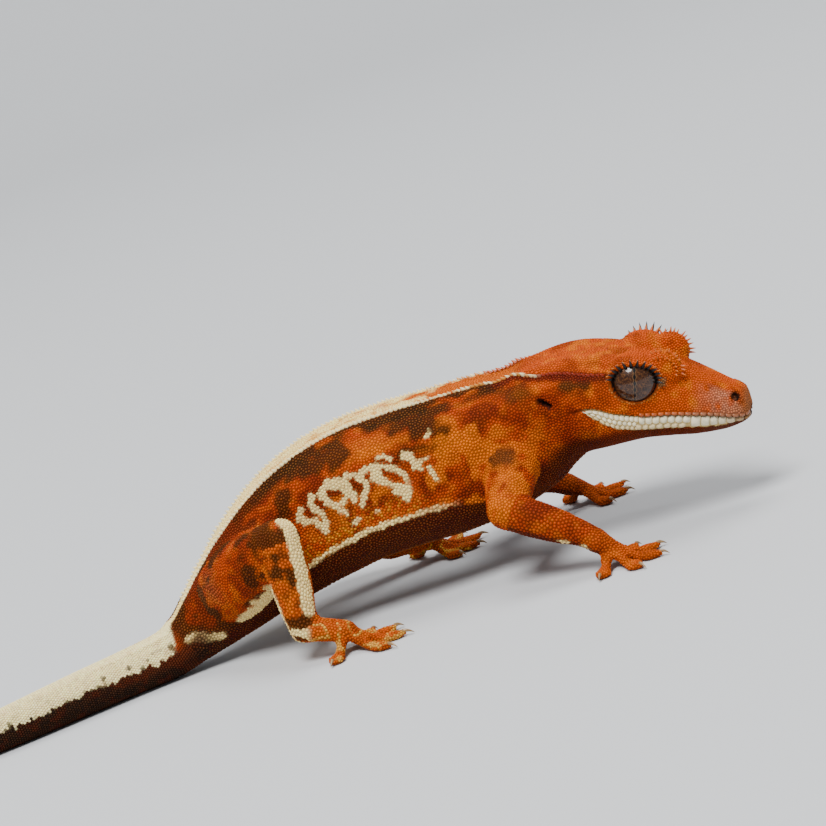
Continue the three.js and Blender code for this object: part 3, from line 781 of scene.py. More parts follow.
def limb_colour(points, index, along, angle):
    part = PARTS[index]
    hind = part["limb"].startswith("hind")
    # Degrees round the limb from its upper side, mirrored so that left and right limbs match.
    round_it = np.degrees(angle) * -LIMBS[part["limb"]]["side"]
    fine = clouds(points, 1.2, 11)
    cloud = clouds(points, 3.2, 15)
    colour = np.tile(RUST, (len(points), 1))
    colour = blend(colour, AMBER, ramp(fine, 0.42, 0.7) * 0.6)
    colour = blend(colour, BRICK, ramp(cloud, 0.48, 0.65) * 0.8)
    wobble = (fine - 0.5) * 40
    if part["kind"] == UPPER and hind:
        colour = blend(colour, BRICK, np.full(len(points), 0.15))
        colour = blend(colour, OLIVE, ramp(clouds(points, 4.2, 17), 0.49, 0.57) * 0.85)
        flecks = band(along, 0.3, 0.75, 0.1) * band(round_it, 20, 70, 15)
        flecks = flecks * ramp(clouds(points, 2.0, 19), 0.5, 0.6)
        colour = blend(colour, rgb("C87010"), flecks)
        dark_knee = band(along, 0.8, 1.0, 0.05) * band(round_it + wobble, 5, 60, 10)
        colour = blend(colour, OLIVE, dark_knee * 0.9)
        under = band(np.abs(round_it) + wobble * 0.6, 150, 200, 5) * ramp(along, 0.85, 0.7)
        colour = blend(colour, CREAM, under)
        fold = band(along, 0.0, 0.2, 0.15) * band(round_it, -105, -50, 25)
        colour = blend(colour, rgb("5A4430"), fold * 0.5)
    if part["kind"] == LOWER and hind:
        colour = blend(colour, AMBER, np.full(len(points), 0.3))
        colour = blend(colour, OLIVE,
                       ramp(clouds(points, 3.4, 18), 0.47, 0.55) * band(round_it, -60, 60, 20) * 0.9)
        rear = band(round_it + wobble, -125, -58, 8) * ramp(along, 0.42, 0.52)
        colour = blend(colour, CREAM, rear)
    if part["kind"] in (UPPER, LOWER) and hind:
        gap = leg_stripe(points, part["limb"]) + (fine - 0.5) * 0.5
        colour = blend(colour, CREAM, ramp(gap, 1.65, 1.4))
    if part["kind"] in (FOOT, DIGIT):
        colour = blend(colour, rgb("C45800"), np.full(len(points), 0.5))
    if part["kind"] in (FOOT, DIGIT) and hind:
        lace = np.abs(noise(points, 1.8, 25) - 0.5)
        colour = blend(colour, rgb("D8A040"), ramp(lace, 0.09, 0.04) * 0.8)
        heel = ramp(along, 0.3, 0.1) * band(round_it, -150, -60, 15) * float(part["kind"] == FOOT)
        colour = blend(colour, CREAM, heel)
    if not hind and part["kind"] == UPPER:
        colour = blend(colour, rgb("D86C00"), ramp(clouds(points, 2.6, 43), 0.62, 0.42) * 0.7)
        dusky = band(along, 0.2, 0.5, 0.08) * band(round_it + wobble, -30, 30, 10)
        colour = blend(colour, rgb("482810"), dusky * 0.8)
    if not hind and part["kind"] in (LOWER, FOOT):
        colour = blend(colour, BRICK, np.full(len(points), 0.3))
        under = band(np.abs(round_it) + wobble * 0.4, 120, 200, 10)
        colour = blend(colour, MAROON, under * 0.75)
        run = along if part["kind"] == LOWER else along + 1
        dots = ramp(noise(points, 0.7, 29), 0.45, 0.55)
        dots = dots * band(round_it, -150, -122, 5) * band(run, 0.75, 1.5, 0.05)
        colour = blend(colour, CREAM, dots)
    return colour


def markings(points, owner, along, angle):
    """The animal's colours, with some painted shade, for skin and scales alike."""
    colour = np.zeros((len(points), 3))
    body = owner < 0
    colour[body] = body_colour(points[body], along[body], angle[body])
    t = along[body]
    above = above_mouth(points[body], t)
    colour[body] = lip_colour(points[body], t, above, colour[body])
    for index in np.unique(owner[~body]):
        mine = owner == index
        colour[mine] = limb_colour(points[mine], index, along[mine], angle[mine])
    q, high, _ = eye_distance(points)
    colour = blend(colour, SOOT, ramp(q, 1.09, 1.03))
    pale = band(q, 1.12, 1.2, 0.03) * ramp(high, 0.1, -0.3)
    colour = blend(colour, rgb("8E6834"), pale * 0.6)
    for centre, outward, ahead, above_eye in EYES.values():
        corner = centre + ahead * EYE_HALF_LENGTH * 1.22 + outward * 1.6 - above_eye * 0.3
        gap = np.linalg.norm(points - corner, axis=1) + (noise(points, 0.8, 99) - 0.5) * 0.8
        colour = blend(colour, rgb("8C7048"), ramp(gap, 1.3, 0.6) * (q > 1.1) * 0.8)
    return colour


def above_mouth(points, t):
    """Height of points above the line of the mouth, which ends at its corner."""
    centre, _, _, up = body_frame(t)
    height = ((points - centre) * up).sum(1)
    level = through(MOUTH, np.clip(t, 0, 10))[:, 0]
    return np.where(t < MOUTH_CORNER, height - level, 99.0)


# Making meshes.

def grid_tube(rings, sides, place):
    """Vertices and faces of a closed tube, where place gives the points of each ring."""
    around = np.linspace(0, 2 * math.pi, sides, endpoint=False)
    u = np.repeat(np.asarray(rings, float), sides)
    a = np.tile(around, len(rings))
    verts = place(u, a)
    count = len(rings)
    k = np.arange(sides)
    k1 = (k + 1) % sides
    faces = [tuple(r * sides + v for v in quad) for r in range(count - 1)
             for quad in ((i, j, j + sides, i + sides) for i, j in zip(k, k1))]
    ends = np.array([verts[:sides].mean(0), verts[-sides:].mean(0)])
    first, last = len(verts), len(verts) + 1
    faces += [(int(j), int(i), first) for i, j in zip(k, k1)]
    faces += [(int(i) + (count - 1) * sides, int(j) + (count - 1) * sides, last) for i, j in zip(k, k1)]
    return np.vstack([verts, ends]), faces


def ball(centre, axes, radii, rings=24, sides=32):
    """A closed ellipsoid with its poles on its first axis."""
    def place(u, a):
        local = np.stack([np.cos(u) * radii[0], np.sin(u) * np.cos(a) * radii[1],
                          np.sin(u) * np.sin(a) * radii[2]], 1)
        return centre + local @ axes
    return grid_tube(np.linspace(0.02, math.pi - 0.02, rings), sides, place)


def mesh_object(name, verts, faces):
    """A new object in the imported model's frame from points in millimetres."""
    mesh = bpy.data.meshes.new(name)
    mesh.from_pydata((np.asarray(verts) * MM + SHIFT).tolist(), [], faces)
    mesh.validate()
    return link(name, mesh)


def link(name, data):
    """A new object in the scene that shows data."""
    made = bpy.data.objects.new(name, data)
    bpy.context.scene.collection.objects.link(made)
    return made


def values_of(collection, field, width, kind=float):
    """One field of every member of a mesh's collection, as rows of width numbers."""
    found = np.empty(len(collection) * width, kind)
    collection.foreach_get(field, found)
    return found.reshape(-1, width) if width > 1 else found


def smooth_faces(mesh):
    mesh.polygons.foreach_set("use_smooth", np.ones(len(mesh.polygons), bool))


def corner_points(mesh):
    """Number of the point at each corner of each face."""
    return values_of(mesh.loops, "vertex_index", 1, np.int32)


def store_unwrap(mesh, places):
    layer = mesh.uv_layers.new(name="OFBake")
    layer.uv.foreach_set("vector", places.astype(np.float32).ravel())


def joined(shapes):
    verts, faces, offset = [], [], 0
    for points, quads in shapes:
        verts.append(points)
        faces += [tuple(int(i) + offset for i in face) for face in quads]
        offset += len(points)
    return np.vstack(verts), faces


def coordinates(mesh):
    return (values_of(mesh.vertices, "co", 3) - SHIFT) / MM


def set_coordinates(mesh, points):
    mesh.vertices.foreach_set("co", (points * MM + SHIFT).ravel())
    mesh.update()


def edges_of(mesh):
    return values_of(mesh.edges, "vertices", 2, np.int32)


def smoothed(points, pairs, weight, rounds, back=0.0):
    """Moves points towards the mean of their neighbours, and back again if back is given."""
    count = np.bincount(pairs.ravel(), minlength=len(points)).clip(1)[:, None]
    for step in [1.0, -back] * rounds if back else [1.0] * rounds:
        total = np.zeros_like(points)
        for axis in range(3):
            total[:, axis] = np.bincount(pairs[:, 0], points[pairs[:, 1], axis], len(points))
            total[:, axis] += np.bincount(pairs[:, 1], points[pairs[:, 0], axis], len(points))
        points = points + (total / count - points) * 0.5 * step * weight[:, None]
    return points


def paint(mesh, name, colours):
    """Stores colours on a mesh's points."""
    layer = mesh.color_attributes.new(name, "FLOAT_COLOR", "POINT")
    full = np.hstack([np.clip(colours, 0, 1), np.ones((len(colours), 1))])
    layer.data.foreach_set("color", full.astype(np.float32).ravel())


# The unwrap that skin and scales share.

def chart(owner, along, angle):
    """Place on the unwrap of points given by part, place along and angle: one rectangle to each part."""
    around = angle / (2 * math.pi) + 0.5
    uv = np.zeros((len(owner), 2))
    lengths = run_of(SPINE_AT)
    body = owner < 0
    share = np.interp(along, SPINE_T, lengths / lengths[-1])
    uv[body] = np.stack([0.01 + 0.98 * share[body], 0.42 + 0.57 * around[body]], 1)
    for index, part in enumerate(PARTS):
        mine = owner == index
        limb = list(LIMBS).index(part["limb"])
        if part["kind"] == DIGIT:
            low = np.array([0.01 + 0.049 * (limb * 5 + part["digit"] - 1), 0.01])
            size = np.array([0.044, 0.1])
            run = along[mine] / 7
        else:
            low = np.array([0.01 + 0.082 * (limb * 3 + part["kind"] - 1), 0.12])
            size = np.array([0.077, 0.28])
            run = along[mine]
        uv[mine] = low + np.stack([around[mine], np.clip(run, 0, 1)], 1) * size
    return uv


def body_chart(points):
    t, angle, _ = body_coordinates(points)
    return chart(np.full(len(t), -1), t, angle)


# Skin.

MOUTH_GROOVE = 0.55  # depths of what is pressed into the head
NOSTRIL_DEPTH = 1.1
EAR_DEPTH = 1.5
SOCKET_RADIUS = 3.5  # how far the skin under an eyeball lies from its centre


class Skin:
    """Keeps the finished skin for the pieces that are laid on it."""

    mesh = None


def skin_shapes(depth):
    shapes = [grid_tube(np.r_[0.0, 0.02, 0.06, np.linspace(0.12, LAST - 0.1, 430), LAST], 112,
                        lambda t, a: body_point(t, a, -depth))]
    axes = np.array(frame_at(EYE_STATION)[1:])
    for side in EYES:
        shapes.append(ball(EYES[side][0], np.eye(3), [ORBIT_RADIUS - depth] * 3))
        shapes.append(ball(brow_place(side), axes, [r - depth for r in BROW]))
    ends = np.r_[-np.sin(np.linspace(1.5, 0.15, 8)), np.linspace(0, 1, 24),
                 1 + np.sin(np.linspace(0.15, 1.5, 8))]
    for part in PARTS:
        if part["kind"] == DIGIT:
            shapes.append(grid_tube(np.linspace(0, 6.1, 30), 24,
                                    lambda t, a, p=part: digit_surface(p, t, a, -depth * 0.5)))
        else:
            shapes.append(grid_tube(ends, 36, lambda u, a, p=part: limb_surface(p, u, a, -depth)))
    return shapes


def voxel_mesh(source, voxel):
    """The outer surface of a heap of overlapping closed shapes."""
    remesh = source.modifiers.new("one_surface", "REMESH")
    remesh.mode = "VOXEL"
    remesh.voxel_size = voxel * MM
    graph = bpy.context.evaluated_depsgraph_get()
    made = bpy.data.meshes.new_from_object(source.evaluated_get(graph))
    source.modifiers.remove(remesh)
    return made


def refine(mesh, chosen):
    """Cuts the chosen faces into four."""
    work = bmesh.new()
    work.from_mesh(mesh)
    work.faces.ensure_lookup_table()
    edges = {edge for index in chosen for edge in work.faces[index].edges}
    bmesh.ops.subdivide_edges(work, edges=list(edges), cuts=1, use_grid_fill=True)
    bmesh.ops.triangulate(work, faces=[f for f in work.faces if len(f.verts) > 4])
    work.to_mesh(mesh)
    work.free()


def normals_of(mesh):
    mesh.update()
    return values_of(mesh.vertex_normals, "vector", 3, np.float32).astype(float)


def seam_weight(points):
    """1 where a limb meets the trunk or the next length of limb, and 0 away from it."""
    _, _, body = body_coordinates(points)
    weight = np.zeros(len(points))
    reach = {UPPER: 2.4, LOWER: 1.1, FOOT: 0.8, DIGIT: 0.5}
    gaps = {"body": (np.abs(body), 2.4)}
    for index, part in enumerate(PARTS):
        axis = limb_axes(part)[0]
        span = np.linalg.norm(part["b"] - part["a"])
        p = points - part["a"]
        u = np.clip(p @ axis / span, 0, 1)
        if part["kind"] == DIGIT:
            radius = through(TOE[:, 1:2], u * 7)[:, 0] * 0.9
        else:
            radius = through(part["girth"][:, None], u * 2)[:, 0]
        rest = p - axis * (u * span)[:, None]
        gap = np.abs(np.linalg.norm(rest, axis=1) - radius)
        for other, (other_gap, other_reach) in gaps.items():
            if other != "body" and other[0] != part["limb"]:
                continue
            size = min(reach[part["kind"]], other_reach)
            weight = np.maximum(weight, np.exp(-(gap**2 + other_gap**2) / size**2))
        gaps[(part["limb"], index)] = (gap, reach[part["kind"]])
    return weight


def carve_head(points, normals):
    """Presses the mouth, eye sockets, nostrils and ears into the skin."""
    t, angle, _ = body_coordinates(points)
    head = t < 12
    sunk = np.zeros(len(points))
    above = above_mouth(points, t)
    outer = np.abs(np.degrees(angle)) > 25
    groove = np.exp(-((above / 0.26) ** 2)) * ramp(t, MOUTH_CORNER, MOUTH_CORNER - 0.5)
    sunk += groove * MOUTH_GROOVE * head * outer
    for side in (-1, 1):
        gap = np.linalg.norm(points - spot(NOSTRIL, side, -0.2), axis=1)
        nostril_rim = 0.22 * np.exp(-(((gap - 1.05) / 0.3) ** 2))
        sunk += NOSTRIL_DEPTH * np.exp(-((gap / 0.62) ** 4.0)) - nostril_rim
        along_slit, across_slit, near = ear_place(points, side)
        slit = np.exp(-((across_slit / 0.5) ** 2) - (along_slit / 1.25) ** 4) * near
        lip = np.exp(-(((across_slit + 1.0) / 0.45) ** 2) - (along_slit / 1.6) ** 4) * near
        sunk += EAR_DEPTH * slit - 0.35 * lip
    moved = points - normals * sunk[:, None]
    for side, (centre, outward, ahead, above_eye) in EYES.items():
        offset = moved - centre
        u, v, out = offset @ ahead, offset @ above_eye, offset @ outward
        q = opening(u, v)
        inside = ramp(q, 1.04, 0.92) * (out > 0)
        rim = np.exp(-(((q - 1.16) / 0.09) ** 2)) * (out > 0) * 0.22
        gap = np.linalg.norm(offset, axis=1)
        target = gap * (1 - inside) + SOCKET_RADIUS * inside + rim * (gap < 7)
        moved = centre + offset * (target / np.maximum(gap, 1e-6))[:, None]
    return moved


def build_skin(sizes):
    verts, faces = joined(skin_shapes(sizes.coat_depth / MM))
    heap = mesh_object("skin_source", verts, faces)
    mesh = voxel_mesh(heap, sizes.skin_grain / MM)
    bpy.data.objects.remove(heap)
    points = coordinates(mesh)
    pairs = edges_of(mesh)
    ones = np.ones(len(points))
    points = smoothed(points, pairs, ones, 3, back=1.02)
    seams = seam_weight(points)
    points = smoothed(points, pairs, np.clip(seams * 1.3, 0, 1), 26)
    points = smoothed(points, pairs, ones, 2, back=1.02)
    set_coordinates(mesh, points)
    centres = (values_of(mesh.polygons, "center", 3) - SHIFT) / MM
    t, _, out = body_coordinates(centres)
    q, _, _ = eye_distance(centres)
    refine(mesh, np.flatnonzero(((t < 9.7) & (out > -3) & (centres[:, 0] > 26)) | (q < 2)))
    points = coordinates(mesh)
    head = ramp(points[:, 0], 24, 30)
    points = smoothed(points, edges_of(mesh), head, 2, back=1.02)
    set_coordinates(mesh, points)
    points = carve_head(points, normals_of(mesh))
    points[:, 2] = np.maximum(points[:, 2], 0.04)
    set_coordinates(mesh, points)
    owner, along, angle = classify(points)
    colour = markings(points, owner, along, angle)
    # Painted shade: the skin, which shows in the gaps between the scales, is darkened, less where it is pale.
    deep = 0.62 + 0.22 * ramp(colour.sum(1), 0.8, 1.8)
    paint(mesh, "Markings", colour * deep[:, None])
    unwrap_skin(mesh, points)
    smooth_faces(mesh)
    mesh.name = "skin"
    Skin.mesh = mesh
    return link("skin", mesh)


def unwrap_skin(mesh, points):
    """Gives each face its place in its part's rectangle of the unwrap."""
    corners = corner_points(mesh)
    totals = values_of(mesh.polygons, "loop_total", 1, np.int32)
    face = np.repeat(np.arange(len(totals)), totals)
    centre = np.stack([np.bincount(face, points[corners, k]) for k in range(3)], 1) / totals[:, None]
    owner, along, angle = classify(centre)
    place = points[corners]
    t, body_angle, _ = body_coordinates(points)
    run, around = along[face].copy(), angle[face].copy()
    body = owner[face] < 0
    run[body] = t[corners][body]
    turn = body_angle[corners][body] - around[body]
    around[body] = around[body] + half_turn(turn)
    for index, part in enumerate(PARTS):
        mine = owner[face] == index
        axis, side, up = limb_axes(part)
        span = np.linalg.norm(part["b"] - part["a"])
        p = place[mine] - part["a"]
        u = np.clip(p @ axis / span, 0, 1)
        if part["kind"] == DIGIT:
            found = np.arctan2(p @ side, p[:, 2] - through(TOE, u * 7)[:, 0])
            run[mine] = u * 7
        else:
            rest = p - axis * (u * span)[:, None]
            found = np.arctan2(rest @ side, rest @ up / part["flat"])
            run[mine] = u
        turn = found - around[mine]
        around[mine] = around[mine] + half_turn(turn)
    store_unwrap(mesh, np.clip(chart(owner[face], run, around), 0.001, 0.999))


# Scales.

SCALE_SIZE = 0.56  # half a scale's width, as a share of the spacing
EVENING_ROUNDS = 6  # rounds of moving the scales' roots apart


def scale_pitch(points, owner, along, angle):
    """Spacing of the scales, in millimetres, over the animal."""
    pitch = np.full(len(points), BODY_PITCH)
    body = owner < 0
    t = np.where(body, along, 15.0)
    degrees = np.degrees(np.abs(angle))
    pitch = np.where(body & (t < 11.5), 0.34 + 0.009 * t, pitch)
    pitch = np.where(body & (t > 10) & (degrees > 150), 0.72, pitch)
    pitch = np.where(body & (t > 22), BODY_PITCH, pitch)
    crest = np.abs(degrees - crest_degrees(t) + 4) < 5
    pitch = np.where(body & crest & (t > 10) & (t < 21.5), 0.56, pitch)
    pale_line = np.abs(degrees - 111) < 3
    pitch = np.where(body & pale_line & (t > 14) & (t < 18.6), 0.58, pitch)
    kinds = np.array([part["kind"] for part in PARTS] + [BODY])
    kind = kinds[owner]
    pitch = np.where(kind == LOWER, 0.52, pitch)
    pitch = np.where(kind == DIGIT, 0.42, pitch)
    return pitch


def bare(points, owner, along):
    """Where no granule grows: eyes, lips, nostrils, ears."""
    body = owner < 0
    t = np.where(body, along, 99.0)
    off = eye_distance(points)[0] < 1.12
    above = above_mouth(points, t)
    off |= body & (t > 0.5) & (t < UPPER_LIP_END) & (above > 0) & (above < UPPER_LIP_DEPTH + 0.1)
    off |= body & (t > 0.5) & (t < 8.25) & (above <= 0) & (above > -lip_depth(t) - 0.05)
    off |= body & (t < MOUTH_CORNER) & (np.abs(above) < 0.22)
    for side in (-1, 1):
        off |= np.linalg.norm(points - spot(NOSTRIL, side, -0.2), axis=1) < 0.78
        along_slit, across_slit, near = ear_place(points, side)
        off |= (np.abs(across_slit) < 0.5) & (np.abs(along_slit) < 1.35) & near
    return off


def triangles_of(mesh):
    mesh.calc_loop_triangles()
    return values_of(mesh.loop_triangles, "vertices", 3, np.int32)


def kd_tree(points):
    tree = KDTree(len(points))
    for index, point in enumerate(points.tolist()):
        tree.insert(point, index)
    tree.balance()
    return tree


def scatter(points, triangles, spacing, rounds):
    """Roots for scales over the skin, close to evenly packed, with the skin's normal at each."""
    draws = np.random.RandomState(SEED)
    a, b, c = (points[triangles[:, k]] for k in range(3))
    area = np.linalg.norm(np.cross(b - a, c - a), axis=1) / 2
    wanted = area / spacing(points[triangles[:, 0]]) ** 2
    count = int(wanted.sum() * 9)
    chosen = draws.choice(len(triangles), count, p=wanted / wanted.sum())
    r1, r2 = np.sqrt(draws.rand(count)), draws.rand(count)
    places = (a[chosen] * (1 - r1)[:, None] + b[chosen] * (r1 * (1 - r2))[:, None]
              + c[chosen] * (r1 * r2)[:, None])
    reach = spacing(places) * 0.86
    tree = kd_tree(places)
    free = np.ones(count, bool)
    kept = []
    for index, (place, radius) in enumerate(zip(places.tolist(), reach.tolist())):
        if free[index]:
            kept.append(index)
            free[[hit[1] for hit in tree.find_range(place, radius)]] = False
    roots = places[kept]
    surface = BVHTree.FromPolygons(points.tolist(), triangles.tolist())
    for _ in range(rounds):
        pitch = spacing(roots)
        tree = kd_tree(roots)
        near = np.array([[hit[1] for hit in tree.find_n(place, 9)] for place in roots.tolist()])[:, 1:]
        away = roots[:, None, :] - roots[near]
        gap = np.linalg.norm(away, axis=2)
        closeness = np.clip(1 - gap / (pitch[:, None] * 1.3), 0, 1)[..., None]
        push = closeness * away / np.maximum(gap, 1e-6)[..., None]
        roots = roots + push.sum(1) * pitch[:, None] * 0.32
        roots = np.array([surface.find_nearest(place)[0] for place in roots.tolist()])
    hits = [surface.find_nearest(place)[2] for place in roots.tolist()]
    return roots, np.array(hits)


def tail_rows(pitch):
    """Roots and outward directions of the scales that ring the tail in even rows."""
    t = np.linspace(TAIL_ROWS_START, 31.9, 3000)
    run = run_of(body_frame(t)[0])
    rows = np.interp(np.arange(0, run[-1], pitch * 0.88), run, t)
    along, around = [], []
    for number, place in enumerate(rows):
        ring = body_point(np.full(60, place), np.linspace(-math.pi, math.pi, 60))
        gaps = run_of(ring)
        count = max(6, int(gaps[-1] / (pitch * 1.04)))
        steps = (np.arange(count) + 0.5 * (number % 2)) / count * gaps[-1]
        around.append(np.interp(steps, gaps, np.linspace(-math.pi, math.pi, 60)))
        along.append(np.full(count, place))
    along, around = np.concatenate(along), np.concatenate(around)
    roots = body_point(along, around, -0.2)
    out = unit(body_point(along, around, 0.3) - roots)
    return roots, out


def dome(sides, levels):
    """A closed low dome: rings of (radius, height) from the rim up, a point on top and a flat base."""
    turn = np.arange(sides) / sides * 2 * math.pi
    verts = [np.stack([np.cos(turn + 0.5 * k * turn[1]) * r, np.sin(turn + 0.5 * k * turn[1]) * r,
                       np.full(sides, z)], 1) for k, (r, z) in enumerate(levels)]
    verts = np.vstack(verts + [np.array([[0, 0, 1.0]])])
    faces = [tuple(range(sides - 1, -1, -1))]
    for k in range(len(levels) - 1):
        for i in range(sides):
            j = (i + 1) % sides
            a, b, c, d = k * sides + i, k * sides + j, (k + 1) * sides + i, (k + 1) * sides + j
            faces += [(a, b, c), (b, d, c)]
    top = (len(levels) - 1) * sides
    faces += [(top + i, top + (i + 1) % sides, len(verts) - 1) for i in range(sides)]
    return verts, faces


def stamp(name, template, roots, axes, sizes, colours, uv, material):
    """One mesh of many copies of a small closed shape, each set on its own root.

    axes holds each copy's lengthwise, crosswise and outward directions, sizes its reach along them,
    colours one colour for each of its points, and uv its root's place on the unwrap.
    """
    verts, faces = template
    n, v = len(roots), len(verts)
    local = verts[None] * sizes[:, None, :]
    points = roots[:, None, :] + np.einsum("nvk,nkx->nvx", local, axes)
    points = points.reshape(-1, 3)
    points[:, 2] = np.maximum(points[:, 2], 0.0)
    corners = np.concatenate([np.array(f) for f in faces])
    totals = np.array([len(f) for f in faces])
    loops = (corners[None] + (np.arange(n) * v)[:, None]).ravel()
    mesh = bpy.data.meshes.new(name)
    mesh.vertices.add(n * v)
    mesh.vertices.foreach_set("co", (points * MM + SHIFT).ravel())
    mesh.loops.add(len(loops))
    mesh.loops.foreach_set("vertex_index", loops.astype(np.int32))
    mesh.polygons.add(n * len(faces))
    all_totals = np.tile(totals, n)
    mesh.polygons.foreach_set("loop_start", np.r_[0, np.cumsum(all_totals)[:-1]].astype(np.int32))
    mesh.polygons.foreach_set("loop_total", all_totals.astype(np.int32))
    smooth_faces(mesh)
    mesh.update(calc_edges=True)
    paint(mesh, "Markings", colours.reshape(-1, 3))
    reach = np.abs(verts[:, :2]).max()
    store_unwrap(mesh, np.clip(uv[:, None, :] + verts[None, corners, :2] / reach * PATCH / 2, 0, 1))
    mesh.materials.append(material)
    made = link(name, mesh)
    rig.ride(made, "root")
    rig.slot(made, "skin_orange")
    return made


def lie(normals, owner, along):
    """Lengthwise, crosswise and outward directions for each scale: tips point back along its part."""
    back = np.tile(np.array([-1.0, 0.0, 0.0]), (len(owner), 1))
    body = owner < 0
    back[body] = -body_frame(along[body])[1]
    for index, part in enumerate(PARTS):
        back[owner == index] = limb_axes(part)[0]
    length = unit(back - normals * (back * normals).sum(1)[:, None])
    return np.stack([length, np.cross(normals, length), normals], 1)


def skin_normals(mesh, triangles, hits):
    normals = normals_of(mesh)
    return unit(normals[triangles[hits]].mean(1))


def lay_scales(sizes, material):
    """Granules over the whole skin, as several joined meshes."""
    mesh = Skin.mesh
    points = coordinates(mesh)
    triangles = triangles_of(mesh)
    owner, along, angle = classify(points)
    pitch_at = scale_pitch(points, owner, along, angle) * sizes.scale_pitch / MM / BODY_PITCH
    tree = kd_tree(points[::3])

    def spacing(places):
        return pitch_at[::3][[tree.find(p)[1] for p in places.tolist()]]

    rounds = 1 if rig.quick() else EVENING_ROUNDS
    roots, hits = scatter(points, triangles, spacing, rounds)
    normals = skin_normals(mesh, triangles, hits)
    owner, along, angle = classify(roots)
    off_tail = (owner >= 0) | (along < TAIL_ROWS_START - 0.03)
    ringed, outward = tail_rows(sizes.scale_pitch / MM)
    roots, normals = np.vstack([roots[off_tail], ringed]), np.vstack([normals[off_tail], outward])
    owner, along, angle = classify(roots)
    keep = ~bare(roots, owner, along) & (roots[:, 2] > 0.1)
    roots, normals, owner, along, angle = (x[keep] for x in (roots, normals, owner, along, angle))
    pitch = spacing(roots)
    colour = markings(roots, owner, along, angle)
    axes = lie(normals, owner, along)
    draws = np.random.RandomState(SEED + 1)
    size = pitch * SCALE_SIZE * (0.92 + 0.16 * draws.rand(len(roots)))
    pale = ramp(colour.sum(1), 1.2, 1.9)
    tall = pitch * (0.24 + 0.10 * pale) * (0.9 + 0.2 * draws.rand(len(roots)))
    reach = np.stack([size * 1.06, size, tall], 1)
    template = dome(6, ((1.0, -0.45), (0.72, 0.62)))
    shades = shade_scales(colour, template[0], draws, owner, along)
    uv = chart(owner, along, angle)
    pieces = group_of(owner, along)
    for name in sorted(set(pieces)):
        mine = np.flatnonzero(pieces == name)
        stamp(f"scales_{name}", template, roots[mine], axes[mine], reach[mine], shades[mine],
              uv[mine], material)


def shade_scales(colour, verts, draws, owner, along):
    """Colour of each point of each scale: painted shade round its rim and a painted highlight on top."""
    varied = colour * (0.86 + 0.28 * draws.rand(len(colour), 1))
    warm = 1 + (draws.rand(len(colour), 3) - 0.5) * [0.04, 0.08, 0.12]
    varied = varied * warm
    # Painted shade darkens each scale's rim, less on pale scales; a painted highlight lightens its top.
    light = ramp(colour.sum(1), 0.9, 1.7)[:, None]
    rim = varied * (np.array([0.72, 0.66, 0.6]) * (1 - light) + 0.85 * light)
    top = varied * 1.08 + 0.012
    # Many dark granules, most of all on the trunk, have pale tips of their own.
    dark = ramp(colour.sum(1), 0.25, 0.05)
    body = owner < 0
    fleck = np.where(body & (along > 9) & (along < 22), 0.42, 0.12)
    flecked = dark * fleck * (draws.rand(len(colour)) > 0.3)
    top = blend(top, rgb("B06A28"), flecked)
    level = verts[:, 2]
    shades = np.where((level < 0)[None, :, None], rim[:, None], varied[:, None])
    return np.where((level > 0.95)[None, :, None], top[:, None], shades)


def group_of(owner, along):
    """Name of the mesh that each scale is joined into, so that each stays under 200,000 triangles."""
    names = np.empty(len(owner), dtype=object)
    bounds = ((0, 7.2, "head_front"), (7.2, 11.0, "head_rear"), (11.0, 14.2, "shoulders"),
              (14.2, 16.4, "flanks"), (16.4, 19.2, "loins"), (19.2, 24.0, "hips"), (24.0, 33, "tail"))
    for low, high, name in bounds:
        names[(owner < 0) & (along >= low) & (along < high)] = name
    for index, part in enumerate(PARTS):
        names[owner == index] = part["limb"]
    return names


# Lips, crests, lashes, claws.

CREST_PITCH = 0.78  # spacing of the crest spines
CLAW_RADIUS = 0.34
CLAW_ARCH = 0.55
UPPER_LIP_DEPTH = 0.75
UPPER_LIP_END = 6.1
# Rows of plates down the lower lip: from and to which station, their length in millimetres, how round
# they are, and each row's share of the lip's depth.
LOWER_LIP = (
    (0.45, 4.2, 1.5, 0.3, ((0.0, 1.0),)),
    (4.2, 6.1, 1.2, 0.5, ((0.0, 0.56), (0.56, 1.0))),
    (6.1, 8.2, 0.86, 0.8, ((0.0, 0.35), (0.35, 0.68), (0.68, 1.0))),
)


def lip_edges(start, end, width):
    """Stations that part the lip into plates of about this width."""
    t = np.linspace(start, end, 300)
    line = body_point(t, np.radians(95.0))
    run = run_of(line)
    return np.interp(np.linspace(0, run[-1], int(round(run[-1] / width)) + 1), run, t)


